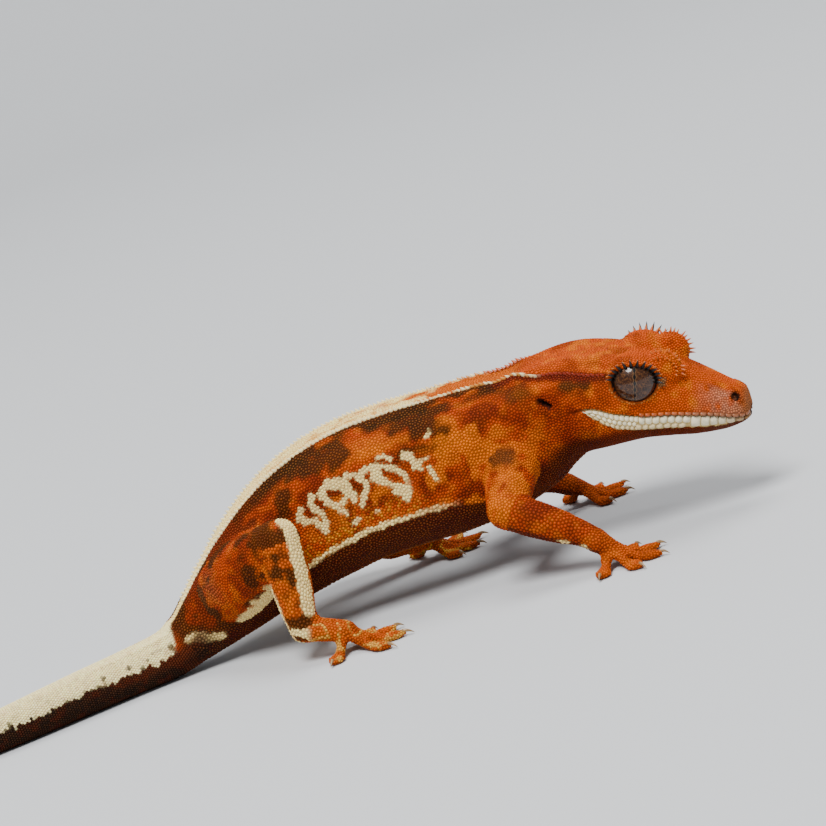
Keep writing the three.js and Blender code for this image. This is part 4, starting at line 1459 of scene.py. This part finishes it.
def plate(t0, t1, share, side, roundness):
    """A lip plate: a cushion between two stations, over a share of the lower lip or on the upper lip."""
    n, m = 9, 7
    u, v = np.meshgrid(np.linspace(-1, 1, n), np.linspace(-1, 1, m), indexing="ij")
    gu = u * (1 - roundness + roundness * np.sqrt(1 - v * v / 2))
    gv = v * (1 - roundness + roundness * np.sqrt(1 - u * u / 2))
    t = (t0 + t1) / 2 + gu * (t1 - t0) / 2 * 0.98
    if share:
        depth = lip_depth(t) - 0.1
        high, low = -0.1 - depth * share[0], -0.1 - depth * share[1]
    else:
        high, low = UPPER_LIP_DEPTH, 0.12
    level = through(MOUTH, t.ravel())[:, 0].reshape(t.shape) + (low + high) / 2 + gv * (high - low) / 2
    angle = angle_at_height(t.ravel(), level.ravel(), side).reshape(t.shape)
    crown = (1 - np.abs(u) ** (3.4 - roundness * 1.2)) * (1 - np.abs(v) ** (3.4 - roundness * 1.2))
    top = body_point(t, angle, -0.24 + 0.36 * crown).reshape(-1, 3)
    border = [i * m for i in range(n)] + [(n - 1) * m + j for j in range(1, m)]
    border += [i * m + m - 1 for i in range(n - 2, -1, -1)] + [j for j in range(m - 2, 0, -1)]
    base = body_point(t, angle, np.full(t.shape, -0.5)).reshape(-1, 3)[border]
    k, count = n * m, len(border)
    faces = [tuple(range(k + count - 1, k - 1, -1))]
    for i in range(count):
        j = (i + 1) % count
        faces.append((border[i], border[j], k + j, k + i))
    for i in range(n - 1):
        for j in range(m - 1):
            faces.append((i * m + j, i * m + j + 1, (i + 1) * m + j + 1, (i + 1) * m + j))
    if side > 0:
        faces = [tuple(reversed(face)) for face in faces]
    crown = np.r_[crown.ravel(), np.zeros(count)]
    flat = np.stack([u.ravel(), v.ravel()], 1) * 0.9
    spread = np.vstack([flat, flat[border] / 0.9]) * PATCH / 2
    root = chart(np.array([-1]), np.array([t.mean()]), np.array([angle.mean()]))
    return np.vstack([top, base]), faces, crown, root + spread


def build_lips(material):
    shapes, colours, uv = [], [], []
    draws = np.random.RandomState(SEED + 2)
    rows = [(edges, share, roundness, 0.5 * (number % 2))
            for start, end, width, roundness, shares in LOWER_LIP
            for number, share in enumerate(shares)
            for edges in [lip_edges(start, end, width)]]
    rows.append((lip_edges(0.45, UPPER_LIP_END, 1.1), None, 0.4, 0.0))
    for side in (-1, 1):
        for edges, share, roundness, step in rows:
            for t0, t1 in zip(edges, edges[1:]):
                t0, t1 = t0 + step * (t1 - t0), t1 + step * (t1 - t0)
                verts, faces, crown, places = plate(t0, t1, share, side, roundness)
                shapes.append((verts, faces))
                shade = lip_plate_colour((t0 + t1) / 2, share, draws)
                # Painted shade: each plate darkens towards its edges, where it meets its neighbours.
                low = 0.72 if share else 0.8
                colours.append(shade * (low + (1 - low) * ramp(crown, 0.02, 0.4))[:, None])
                uv.append(places)
    verts, faces = joined(shapes)
    made = mesh_object("lip_plates", verts, faces)
    paint(made.data, "Markings", np.vstack(colours))
    store_unwrap(made.data, np.clip(np.vstack(uv)[corner_points(made.data)], 0, 1))
    smooth_faces(made.data)
    made.data.materials.append(material)
    return made


def lip_plate_colour(t, share, draws):
    if share:
        pale = float(ramp(np.array([t]), 0.8, 3.6)[0])
        base = rgb("9C6A30") * (1 - pale) + rgb("F6EAC4") * pale
        if share[1] == 1.0 and share[0] > 0:
            base = base * [0.86, 0.76, 0.6]
    else:
        warm = float(ramp(np.array([t]), 3.6, 5.6)[0])
        base = rgb("A0603C") * (1 - warm) + rgb("BA5210") * warm
    return base * (0.9 + 0.16 * draws.rand())


def cone(sides, rings, bend):
    """A closed spine: rings of (radius, height), bent towards its own back."""
    verts, faces = dome(sides, rings)
    verts = verts.copy()
    verts[:, 0] += bend * np.clip(verts[:, 2], 0, 1) ** 2
    return verts, faces


def crest_places():
    """Roots of the crest spines on both sides, from behind the eye to the hip."""
    along = []
    for side in (-1, 1):
        t = np.linspace(7.25, 21.2, 900)
        degrees = crest_degrees(t)
        line = body_point(t, np.radians(degrees) * side, -0.15)
        run = run_of(line)
        picks = np.interp(np.arange(0.4, run[-1], CREST_PITCH), run, t)
        along.append(np.stack([picks, np.full(len(picks), float(side))], 1))
    return np.vstack(along)


def build_crests(material):
    places = crest_places()
    t, side = places.T
    draws = np.random.RandomState(SEED + 3)
    jitter = 1 + (draws.rand(len(t)) - 0.5) * 0.3
    angle = np.radians(crest_degrees(t)) * side
    roots = body_point(t, angle, -0.3)
    centre, forward, _, up = body_frame(t)
    out = unit(roots - centre + up * 3.0)
    length = unit(-forward - out * (-forward * out).sum(1)[:, None])
    axes = np.stack([length, np.cross(out, length), out], 1)
    high = (0.62 + 0.22 * ramp(t, 7.2, 9) * ramp(t, 13, 11)) * jitter
    reach = np.stack([0.42 * jitter, 0.34 * jitter, high], 1)
    template = cone(6, ((1.0, -0.25), (0.95, 0.1), (0.6, 0.5), (0.28, 0.82)), 0.9)
    colour = blend(np.tile(rgb("8A2400"), (len(t), 1)), IVORY, ramp(t, 9.8, 10.2))
    tinged = ramp(t, 14.5, 12.5) * ramp(t, 10, 10.4) * (draws.rand(len(t)) > 0.55)
    colour = blend(colour, rgb("D08830"), tinged)
    colour = blend(colour, rgb("C05008"), ramp(t, 12.4, 11.8) * ramp(t, 9.6, 10.2) * (side > 0))
    shades = np.repeat(colour[:, None], len(template[0]), axis=1)
    # Painted shade: each spine is darkened towards its root.
    shades = shades * (0.45 + 0.6 * ramp(template[0][:, 2], -0.1, 0.5))[None, :, None]
    uv = chart(np.full(len(t), -1), t, angle)
    return stamp("crest_spines", template, roots, axes, reach, np.clip(shades, 0, 1), uv, material)


def build_lashes(material, length):
    roots, axes, reach, colours = [], [], [], []
    template = cone(6, ((1.0, -0.3), (0.8, 0.2), (0.5, 0.6)), 0.25)
    for centre, outward, ahead, above in EYES.values():
        # The near black inner row is partly the spines' own colour and partly painted shade.
        for row, count, scale in ((0, 13, 1.0), (1, 14, 0.62)):
            for k in range(count):
                share = (k + 0.5 * row + 0.2) / (count + 0.2)
                turn = math.radians(-4 + 186 * share)
                rim = 1.05 + 0.11 * row
                flat = ahead * math.cos(turn) * EYE_HALF_LENGTH * rim
                flat = flat + above * math.sin(turn) * (EYE_HALF_HEIGHT - 0.2) * rim
                gap = math.sqrt(max(ORBIT_RADIUS**2 - flat.dot(flat), 0.5))
                root = centre + flat + outward * (gap - 0.15)
                radial = unit(flat)
                point = unit(radial * 0.76 + outward * 0.6)
                wide = unit(np.cross(point, radial))
                roots.append(root)
                axes.append([np.cross(wide, point), wide, point])
                long = length * scale * (0.75 + 0.5 * math.sin(math.pi * share))
                reach.append([0.22 * scale, 0.33, long])
                # The paler second row, set between the dark spines, is a painted highlight of their lit edges.
                dark = SOOT if row == 0 else rgb("BC4800")
                tip = rgb("1E0E08") if row == 0 else rgb("E08A28")
                level = np.clip(template[0][:, 2], 0, 1)[:, None]
                colours.append(dark * (1 - level**2) + tip * level**2)
    roots = np.array(roots)
    uv = body_chart(roots)
    return stamp("eyelash_spines", template, roots, np.array(axes), np.array(reach),
                 np.array(colours), uv, material)


def build_brow_spines(material):
    """Small orange spines along the ridge over each eye, from its front edge over its top."""
    roots, axes, reach = [], [], []
    draws = np.random.RandomState(SEED + 5)
    _, forward, left, up = frame_at(EYE_STATION)
    for side in EYES:
        middle = brow_place(side)
        for row, count, lean in ((0, 11, 0.25), (1, 9, 0.75)):
            for turn in np.linspace(-8, 118, count):
                a = math.radians(turn + (draws.rand() - 0.5) * 8)
                radial = forward * math.cos(a) * BROW[0] + up * math.sin(a) * BROW[2]
                place = radial * math.cos(lean) + left * side * BROW[1] * math.sin(lean)
                out = unit(forward * math.cos(a) / BROW[0] + up * math.sin(a) / BROW[2]
                           + left * side * math.sin(lean) / BROW[1])
                wide = unit(np.cross(out, forward * math.sin(a) - up * math.cos(a)))
                roots.append(middle + place - out * 0.25)
                axes.append([np.cross(wide, out), wide, out])
                long = (0.95 if row == 0 else 0.65) * (0.7 + 0.5 * draws.rand())
                reach.append([0.24, 0.24, long + 0.1])
    template = cone(6, ((1.0, -0.3), (0.8, 0.2), (0.45, 0.65)), 0.3)
    level = np.clip(template[0][:, 2], 0, 1)[:, None]
    shade = rgb("B84400") * (1 - level) + rgb("DE7A1A") * level
    roots = np.array(roots)
    uv = body_chart(roots)
    shades = np.repeat(shade[None], len(roots), axis=0)
    return stamp("brow_spines", template, roots, np.array(axes), np.array(reach), shades, uv, material)


def build_claws(material):
    shapes = []
    for part in PARTS:
        if part["kind"] != DIGIT:
            continue
        span = np.linalg.norm(part["b"] - part["a"])
        start = part["a"] + part["along"] * span * 0.80 + np.array([0, 0, 0.95])
        end = part["b"] + np.array([0, 0, 0.3])
        across = np.array([-part["along"][1], part["along"][0], 0.0])

        def place(u, a, start=start, end=end, across=across):
            arch = np.array([0, 0, CLAW_ARCH]) * (u * (1 - u) * 2)[:, None]
            middle = start + (end - start) * u[:, None] + arch
            radius = CLAW_RADIUS * (1 - u) ** 0.7 + 0.02
            up = np.array([0, 0, 1.0])
            wide = across * (radius * np.cos(a) * 0.8)[:, None]
            return middle + wide + up * (radius * np.sin(a))[:, None]

        shapes.append(grid_tube(np.linspace(0, 1, 9), 10, place))
    verts, faces = joined(shapes)
    verts[:, 2] = np.maximum(verts[:, 2], 0.02)
    made = mesh_object("claws", verts, faces)
    smooth_faces(made.data)
    made.data.materials.append(material)
    return made


def build_eye(side, material):
    """An eyeball in its own axes: x outwards, y forwards, z upwards."""
    centre, outward, ahead, above = EYES[side]
    verts, faces = ball(np.zeros(3), np.eye(3), [EYE_RADIUS * 1.03, EYE_RADIUS, EYE_RADIUS], 96, 128)
    mesh = bpy.data.meshes.new("eyeball")
    mesh.from_pydata((verts * MM).tolist(), [], faces)
    smooth_faces(mesh)
    made = link("eyeball_right" if side < 0 else "eyeball_left", mesh)
    basis = Matrix((outward, ahead, above)).transposed()
    made.matrix_world = Matrix.Translation(centre * MM + SHIFT) @ basis.to_4x4()
    mesh.materials.append(material)
    return made


# Materials.

def new_material(name):
    material = bpy.data.materials.new(name)
    material.use_nodes = True
    tree = material.node_tree
    tree.nodes.clear()
    return material, tree


def add_node(tree, kind, inputs=None, **settings):
    """Adds a node; inputs gives each socket a value or the socket to link to it."""
    node = tree.nodes.new(kind)
    for key, value in settings.items():
        setattr(node, key, value)
    for key, value in (inputs or {}).items():
        if isinstance(value, bpy.types.NodeSocket):
            tree.links.new(value, node.inputs[key])
        else:
            node.inputs[key].default_value = value
    return node


def marked_material(name, kind, size, details, shades, span, roughness, relief, shader, invert=False):
    """A material with the painted colours, shade and highlights, which a texture of features size mm across shades.

    The texture's values over span go to the colour's share over shades and to the range of roughness,
    and relief holds the strength and depth in mm of the bumps that it gives.
    """
    material, tree = new_material(name)
    marks = add_node(tree, "ShaderNodeAttribute", attribute_name="Markings")
    place = add_node(tree, "ShaderNodeTexCoord")
    texture = add_node(tree, kind, {
        "Vector": place.outputs["Object"], "Scale": 1 / (size * MM), **details})
    value = texture.outputs["Distance" if kind == "ShaderNodeTexVoronoi" else "Fac"]
    ranges = []
    for low, high in (shades, roughness):
        ranges.append(add_node(tree, "ShaderNodeMapRange", {
            "Value": value, "From Min": span[0], "From Max": span[1], "To Min": low, "To Max": high}))
    colour = add_node(tree, "ShaderNodeMix", {
        0: 1.0, 6: marks.outputs["Color"], 7: ranges[0].outputs["Result"]},
        data_type="RGBA", blend_type="MULTIPLY")
    bump = add_node(tree, "ShaderNodeBump", {
        "Strength": relief[0], "Distance": relief[1] * MM, "Height": value}, invert=invert)
    surface = add_node(tree, "ShaderNodeBsdfPrincipled", {
        "Base Color": colour.outputs[2], "Roughness": ranges[1].outputs["Result"],
        "Normal": bump.outputs["Normal"], **shader})
    add_node(tree, "ShaderNodeOutputMaterial", {"Surface": surface.outputs[0]})
    return material


def scale_material():
    """Keratin of small granular scales: dry and matt, with a faint waxy light on each bead."""
    return marked_material(
        "keratin_scales", "ShaderNodeTexNoise", 0.35, {"Detail": 3.0, "Roughness": 0.6},
        (0.82, 1.14), (0.3, 0.7), (0.55, 0.75), (0.25, 0.02), {"IOR": 1.5, "Specular IOR Level": 0.08})


def skin_material():
    """The soft skin between the scales: the same colours, darkened by painted shade, and quite matt."""
    return marked_material(
        "soft_skin", "ShaderNodeTexVoronoi", 0.3, {},
        (1.1, 0.7), (0.0, 0.6), (0.7, 0.7), (0.5, 0.04), {"IOR": 1.45, "Specular IOR Level": 0.1}, True)


def lip_material():
    """Smooth plates of keratin along the lips, a little glossier than the granules."""
    return marked_material(
        "keratin_plates", "ShaderNodeTexNoise", 0.6, {"Detail": 4.0},
        (0.8, 1.1), (0.3, 0.7), (0.42, 0.42), (0.2, 0.03), {"IOR": 1.5})


def claw_material():
    """Horn, with darker and amber streaks."""
    material, tree = new_material("claw_horn")
    place = add_node(tree, "ShaderNodeTexCoord")
    grain = add_node(tree, "ShaderNodeTexNoise", {
        "Vector": place.outputs["Object"], "Scale": 1 / (0.5 * MM)})
    colour = add_node(tree, "ShaderNodeMix", {
        0: grain.outputs["Fac"], 6: linear("5A3F28"), 7: linear("B9935E")}, data_type="RGBA")
    shader = add_node(tree, "ShaderNodeBsdfPrincipled", {
        "Base Color": colour.outputs[2], "Roughness": 0.3, "IOR": 1.55})
    add_node(tree, "ShaderNodeOutputMaterial", {"Surface": shader.outputs[0]})
    return material


# The eye's pattern in steps, from its forward and upward places y and z in radii: each step's name, its
# operation, its two inputs, and whether it is held between 0 and 1. A beaded upright slit has a paler
# edge, and the eye darkens towards its rim.
EYE_STEPS = (
    ("wave", "MULTIPLY", "z", 26.0, False),
    ("sine", "SINE", "wave", 0.0, False),
    ("ripple", "MULTIPLY", "sine", 0.02, False),
    ("beads", "ADD", "ripple", 0.042, False),
    ("across", "ABSOLUTE", "y", 0.0, False),
    ("high", "ABSOLUTE", "z", 0.0, False),
    ("length", "SUBTRACT", 0.66, "high", False),
    ("gap", "SUBTRACT", "beads", "across", False),
    ("slit_across", "MULTIPLY", "gap", 90.0, True),
    ("slit_along", "MULTIPLY", "length", 20.0, True),
    ("slit", "MULTIPLY", "slit_across", "slit_along", False),
    ("wider", "ADD", "beads", 0.028, False),
    ("wide_gap", "SUBTRACT", "wider", "across", False),
    ("edge_across", "MULTIPLY", "wide_gap", 60.0, True),
    ("edge_along", "MULTIPLY", "length", 12.0, True),
    ("edge", "MULTIPLY", "edge_across", "edge_along", False),
    ("pale_edge", "MULTIPLY", "edge", 0.55, False),
    ("y_squared", "MULTIPLY", "y", "y", False),
    ("z_squared", "MULTIPLY", "z", "z", False),
    ("squares", "ADD", "y_squared", "z_squared", False),
    ("radius", "SQRT", "squares", 0.0, False),
    ("past", "SUBTRACT", "radius", 0.66, False),
    ("rim", "MULTIPLY", "past", 9.0, True),
)


def eye_material():
    """A lidless eye under its clear scale: marbled brown iris, beaded upright slit and a wet gloss."""
    material, tree = new_material("wet_eye")
    place = add_node(tree, "ShaderNodeTexCoord")
    scaled = add_node(tree, "ShaderNodeVectorMath", {
        0: place.outputs["Object"], "Scale": 1 / (EYE_RADIUS * MM)}, operation="SCALE")
    parts = add_node(tree, "ShaderNodeSeparateXYZ", {0: scaled.outputs[0]})
    veins = add_node(tree, "ShaderNodeTexNoise", {"Vector": scaled.outputs[0], "Scale": 9.0, "Detail": 8.0,
                                                  "Roughness": 0.72, "Distortion": 1.4})
    marble = add_node(tree, "ShaderNodeValToRGB", {0: veins.outputs["Fac"]})
    stops = ((0.30, "0C0402"), (0.44, "281006"), (0.53, "46260F"), (0.62, "6A4422"), (0.75, "281208"))
    for index, (at, tone) in enumerate(stops):
        stop = marble.color_ramp.elements[index] if index < 2 else marble.color_ramp.elements.new(at)
        stop.position = at
        stop.color = linear(tone)
    steps = {"y": parts.outputs[1], "z": parts.outputs[2]}
    for name, operation, first, second, clamp in EYE_STEPS:
        node = add_node(tree, "ShaderNodeMath", {0: steps.get(first, first), 1: steps.get(second, second)},
                        operation=operation, use_clamp=clamp)
        steps[name] = node.outputs[0]
    colour = marble.outputs["Color"]
    for name, tone in (("pale_edge", "7A5A3A"), ("slit", "050303"), ("rim", "0C0706")):
        node = add_node(tree, "ShaderNodeMix", {0: steps[name], 6: colour, 7: linear(tone)},
                        data_type="RGBA")
        colour = node.outputs[2]
    shader = add_node(tree, "ShaderNodeBsdfPrincipled", {
        "Base Color": colour, "Roughness": 0.35, "IOR": 1.4, "Specular IOR Level": 0.2,
        "Coat Weight": 1.0, "Coat Roughness": 0.03, "Coat IOR": 1.4})
    add_node(tree, "ShaderNodeOutputMaterial", {"Surface": shader.outputs[0]})
    return material


def stage_material():
    """Matt studio paper in pale grey."""
    material, tree = new_material("studio_paper")
    shader = add_node(tree, "ShaderNodeBsdfPrincipled", {
        "Base Color": linear("C9CBCD"), "Roughness": 0.95})
    add_node(tree, "ShaderNodeOutputMaterial", {"Surface": shader.outputs[0]})
    return material


# Stage.

def build_stage():
    """A pale sweep of paper, soft lights and the camera."""
    width, front, depth, height, bend = 2400.0, 1500.0, 900.0, 1500.0, 500.0
    profile = [(-front, 0.0), (depth, 0.0)]
    for a in np.linspace(0.1, math.pi / 2, 14):
        profile.append((depth + bend * math.sin(a), bend * (1 - math.cos(a))))
    profile.append((depth + bend, height))
    verts = [(x, y, z) for y, z in profile for x in (-width, width)]
    faces = [(2 * i, 2 * i + 1, 2 * i + 3, 2 * i + 2) for i in range(len(profile) - 1)]
    mesh = bpy.data.meshes.new("backdrop")
    mesh.from_pydata((np.array(verts) * MM).tolist(), [], faces)
    smooth_faces(mesh)
    mesh.materials.append(stage_material())
    sweep = link("backdrop", mesh)
    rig.stage(sweep)
    target = Vector(SHIFT) + Vector((0, 0, CAMERA_TARGET_HEIGHT * MM))
    add_light("key_light", target, (-250, -800, 1500), 800, 42)
    add_light("top_light", target, (300, 500, 1700), 1100, 20)
    world = bpy.data.worlds.new("studio")
    world.use_nodes = True
    sky = world.node_tree.nodes["Background"].inputs
    sky["Color"].default_value = linear("DDE0E4")
    sky["Strength"].default_value = SKY_STRENGTH
    bpy.context.scene.world = world
    add_camera(target)


def add_light(name, target, offset, size, watts):
    light = bpy.data.lights.new(name, "AREA")
    light.shape = "DISK"
    light.size = size * MM
    light.energy = watts
    holder = link(name, light)
    place = Vector(offset) * MM
    holder.location = target + place
    holder.rotation_euler = place.to_track_quat("Z", "Y").to_euler()


def add_camera(target):
    view = Vector((0, math.cos(CAMERA_ELEVATION), -math.sin(CAMERA_ELEVATION)))
    above = Vector((0, math.sin(CAMERA_ELEVATION), math.cos(CAMERA_ELEVATION)))
    along = Vector((1, 0, 0))
    right = along * math.cos(FLOOR_RISE) - above * math.sin(FLOOR_RISE)
    up = along * math.sin(FLOOR_RISE) + above * math.cos(FLOOR_RISE)
    data = bpy.data.cameras.new("camera")
    data.lens = CAMERA_LENS
    data.sensor_width = 36
    data.clip_start = 0.02
    camera = link("camera", data)
    basis = Matrix((right, up, -view)).transposed().to_4x4()
    camera.matrix_world = Matrix.Translation(target - view * CAMERA_DISTANCE * MM) @ basis
    bpy.context.scene.camera = camera


# The add-on.

def colour_property(name, description, colour):
    return bpy.props.FloatVectorProperty(name=name, description=description, default=colour.tolist(),
                                         subtype="COLOR", size=3, min=0.0, max=1.0)


def length_property(name, description, size):
    return bpy.props.FloatProperty(name=name, description=description, default=size * MM,
                                   unit="LENGTH")


class GeckoColours(bpy.types.PropertyGroup):
    """Main colours of the coat."""

    rust: colour_property("Rust", "Ground colour of the body and limbs", RUST)
    amber: colour_property("Amber", "Brighter orange mixed into the ground colour", AMBER)
    brick: colour_property("Brick", "Darker red mixed into the ground colour", BRICK)
    maroon: colour_property("Maroon", "Belly, throat and the tail's underside", MAROON)
    olive: colour_property("Olive", "Dark marbling on the back", OLIVE)
    cream: colour_property("Cream", "Pattern of the flank and the band on the back", CREAM)
    ivory: colour_property("Ivory", "Spines of the crests", IVORY)


def use_colours(colours):
    """Makes the user's colours those of the pattern."""
    for key in GeckoColours.__annotations__:
        globals()[key.upper()] = np.array(getattr(colours, key))


class GeckoSizes(bpy.types.PropertyGroup):
    """Sizes that shape the coat."""

    coat_depth: length_property("Coat depth", "How far the skin lies inside the solids", 0.2)
    skin_grain: length_property("Skin grain", "Size of the skin's faces on the body", 0.475)
    scale_pitch: length_property("Scale pitch", "Spacing of the scales on the flanks", BODY_PITCH)
    lash_length: length_property("Lash length", "Length of the longest spine over the eye", 1.5)


class GECKO_OT_skin(bpy.types.Operator):
    """Make the one skin that covers the whole animal"""

    bl_idname = "gecko.skin"
    bl_label = "Skin"

    def execute(self, context):
        use_colours(context.scene.gecko_colours)
        skin = build_skin(context.scene.gecko_sizes)
        skin.data.materials.append(skin_material())
        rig.ride(skin, "root")
        flesh = [name for name in frame["nodes"] if not name.startswith("eye_")]
        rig.replaces(skin, *flesh)
        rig.slot(skin, "skin_orange")
        return {"FINISHED"}


class GECKO_OT_scales(bpy.types.Operator):
    """Cover the skin with small beaded scales"""

    bl_idname = "gecko.scales"
    bl_label = "Scales"

    def execute(self, context):
        use_colours(context.scene.gecko_colours)
        lay_scales(context.scene.gecko_sizes, scale_material())
        return {"FINISHED"}


class GECKO_OT_head(bpy.types.Operator):
    """Make the lip plates, crest spines and eyelash spines"""

    bl_idname = "gecko.head"
    bl_label = "Lips, crests and lashes"

    def execute(self, context):
        use_colours(context.scene.gecko_colours)
        plates = lip_material()
        lips = build_lips(plates)
        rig.ride(lips, "root")
        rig.slot(lips, "skin_cream")
        build_crests(plates)
        build_brow_spines(plates)
        build_lashes(plates, context.scene.gecko_sizes.lash_length / MM)
        return {"FINISHED"}


class GECKO_OT_eyes(bpy.types.Operator):
    """Make the two eyeballs"""

    bl_idname = "gecko.eyes"
    bl_label = "Eyes"

    def execute(self, context):
        material = eye_material()
        for side, node in ((-1, "eye_right"), (1, "eye_left")):
            eyeball = build_eye(side, material)
            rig.ride(eyeball, "root")
            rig.replaces(eyeball, node)
            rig.slot(eyeball, "eye")
        return {"FINISHED"}


class GECKO_OT_claws(bpy.types.Operator):
    """Make the claws"""

    bl_idname = "gecko.claws"
    bl_label = "Claws"

    def execute(self, context):
        claws = build_claws(claw_material())
        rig.ride(claws, "root")
        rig.slot(claws, "skin_cream")
        return {"FINISHED"}


class GECKO_OT_stage(bpy.types.Operator):
    """Make the backdrop, lights and camera"""

    bl_idname = "gecko.stage"
    bl_label = "Stage"

    def execute(self, context):
        build_stage()
        return {"FINISHED"}


OPERATORS = (GECKO_OT_skin, GECKO_OT_scales, GECKO_OT_head, GECKO_OT_eyes, GECKO_OT_claws, GECKO_OT_stage)


class GECKO_PT_panel(bpy.types.Panel):
    """Lists the pieces of the gecko"""

    bl_idname = "GECKO_PT_panel"
    bl_label = "Crested gecko"
    bl_space_type = "VIEW_3D"
    bl_region_type = "UI"
    bl_category = "Gecko"

    def draw(self, context):
        for group in (context.scene.gecko_sizes, context.scene.gecko_colours):
            for name in type(group).__annotations__:
                self.layout.prop(group, name)
        for operator in OPERATORS:
            self.layout.operator(operator.bl_idname)


CLASSES = (GeckoSizes, GeckoColours) + OPERATORS + (GECKO_PT_panel,)


def register():
    for cls in CLASSES:
        bpy.utils.register_class(cls)
    bpy.types.Scene.gecko_sizes = bpy.props.PointerProperty(type=GeckoSizes)
    bpy.types.Scene.gecko_colours = bpy.props.PointerProperty(type=GeckoColours)


def unregister():
    del bpy.types.Scene.gecko_sizes
    del bpy.types.Scene.gecko_colours
    for cls in reversed(CLASSES):
        bpy.utils.unregister_class(cls)


def main():
    register()
    for operator in OPERATORS:
        group, name = operator.bl_idname.split(".")
        getattr(getattr(bpy.ops, group), name)()
    boxes = {"cad": CAD_BOX, "visual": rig.bounds()}
    plain = {key: [[float(v) for v in corner] for corner in box] for key, box in boxes.items()}
    with open("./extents.json", "w") as out:
        json.dump(plain, out)


if __name__ == "__main__":
    main()
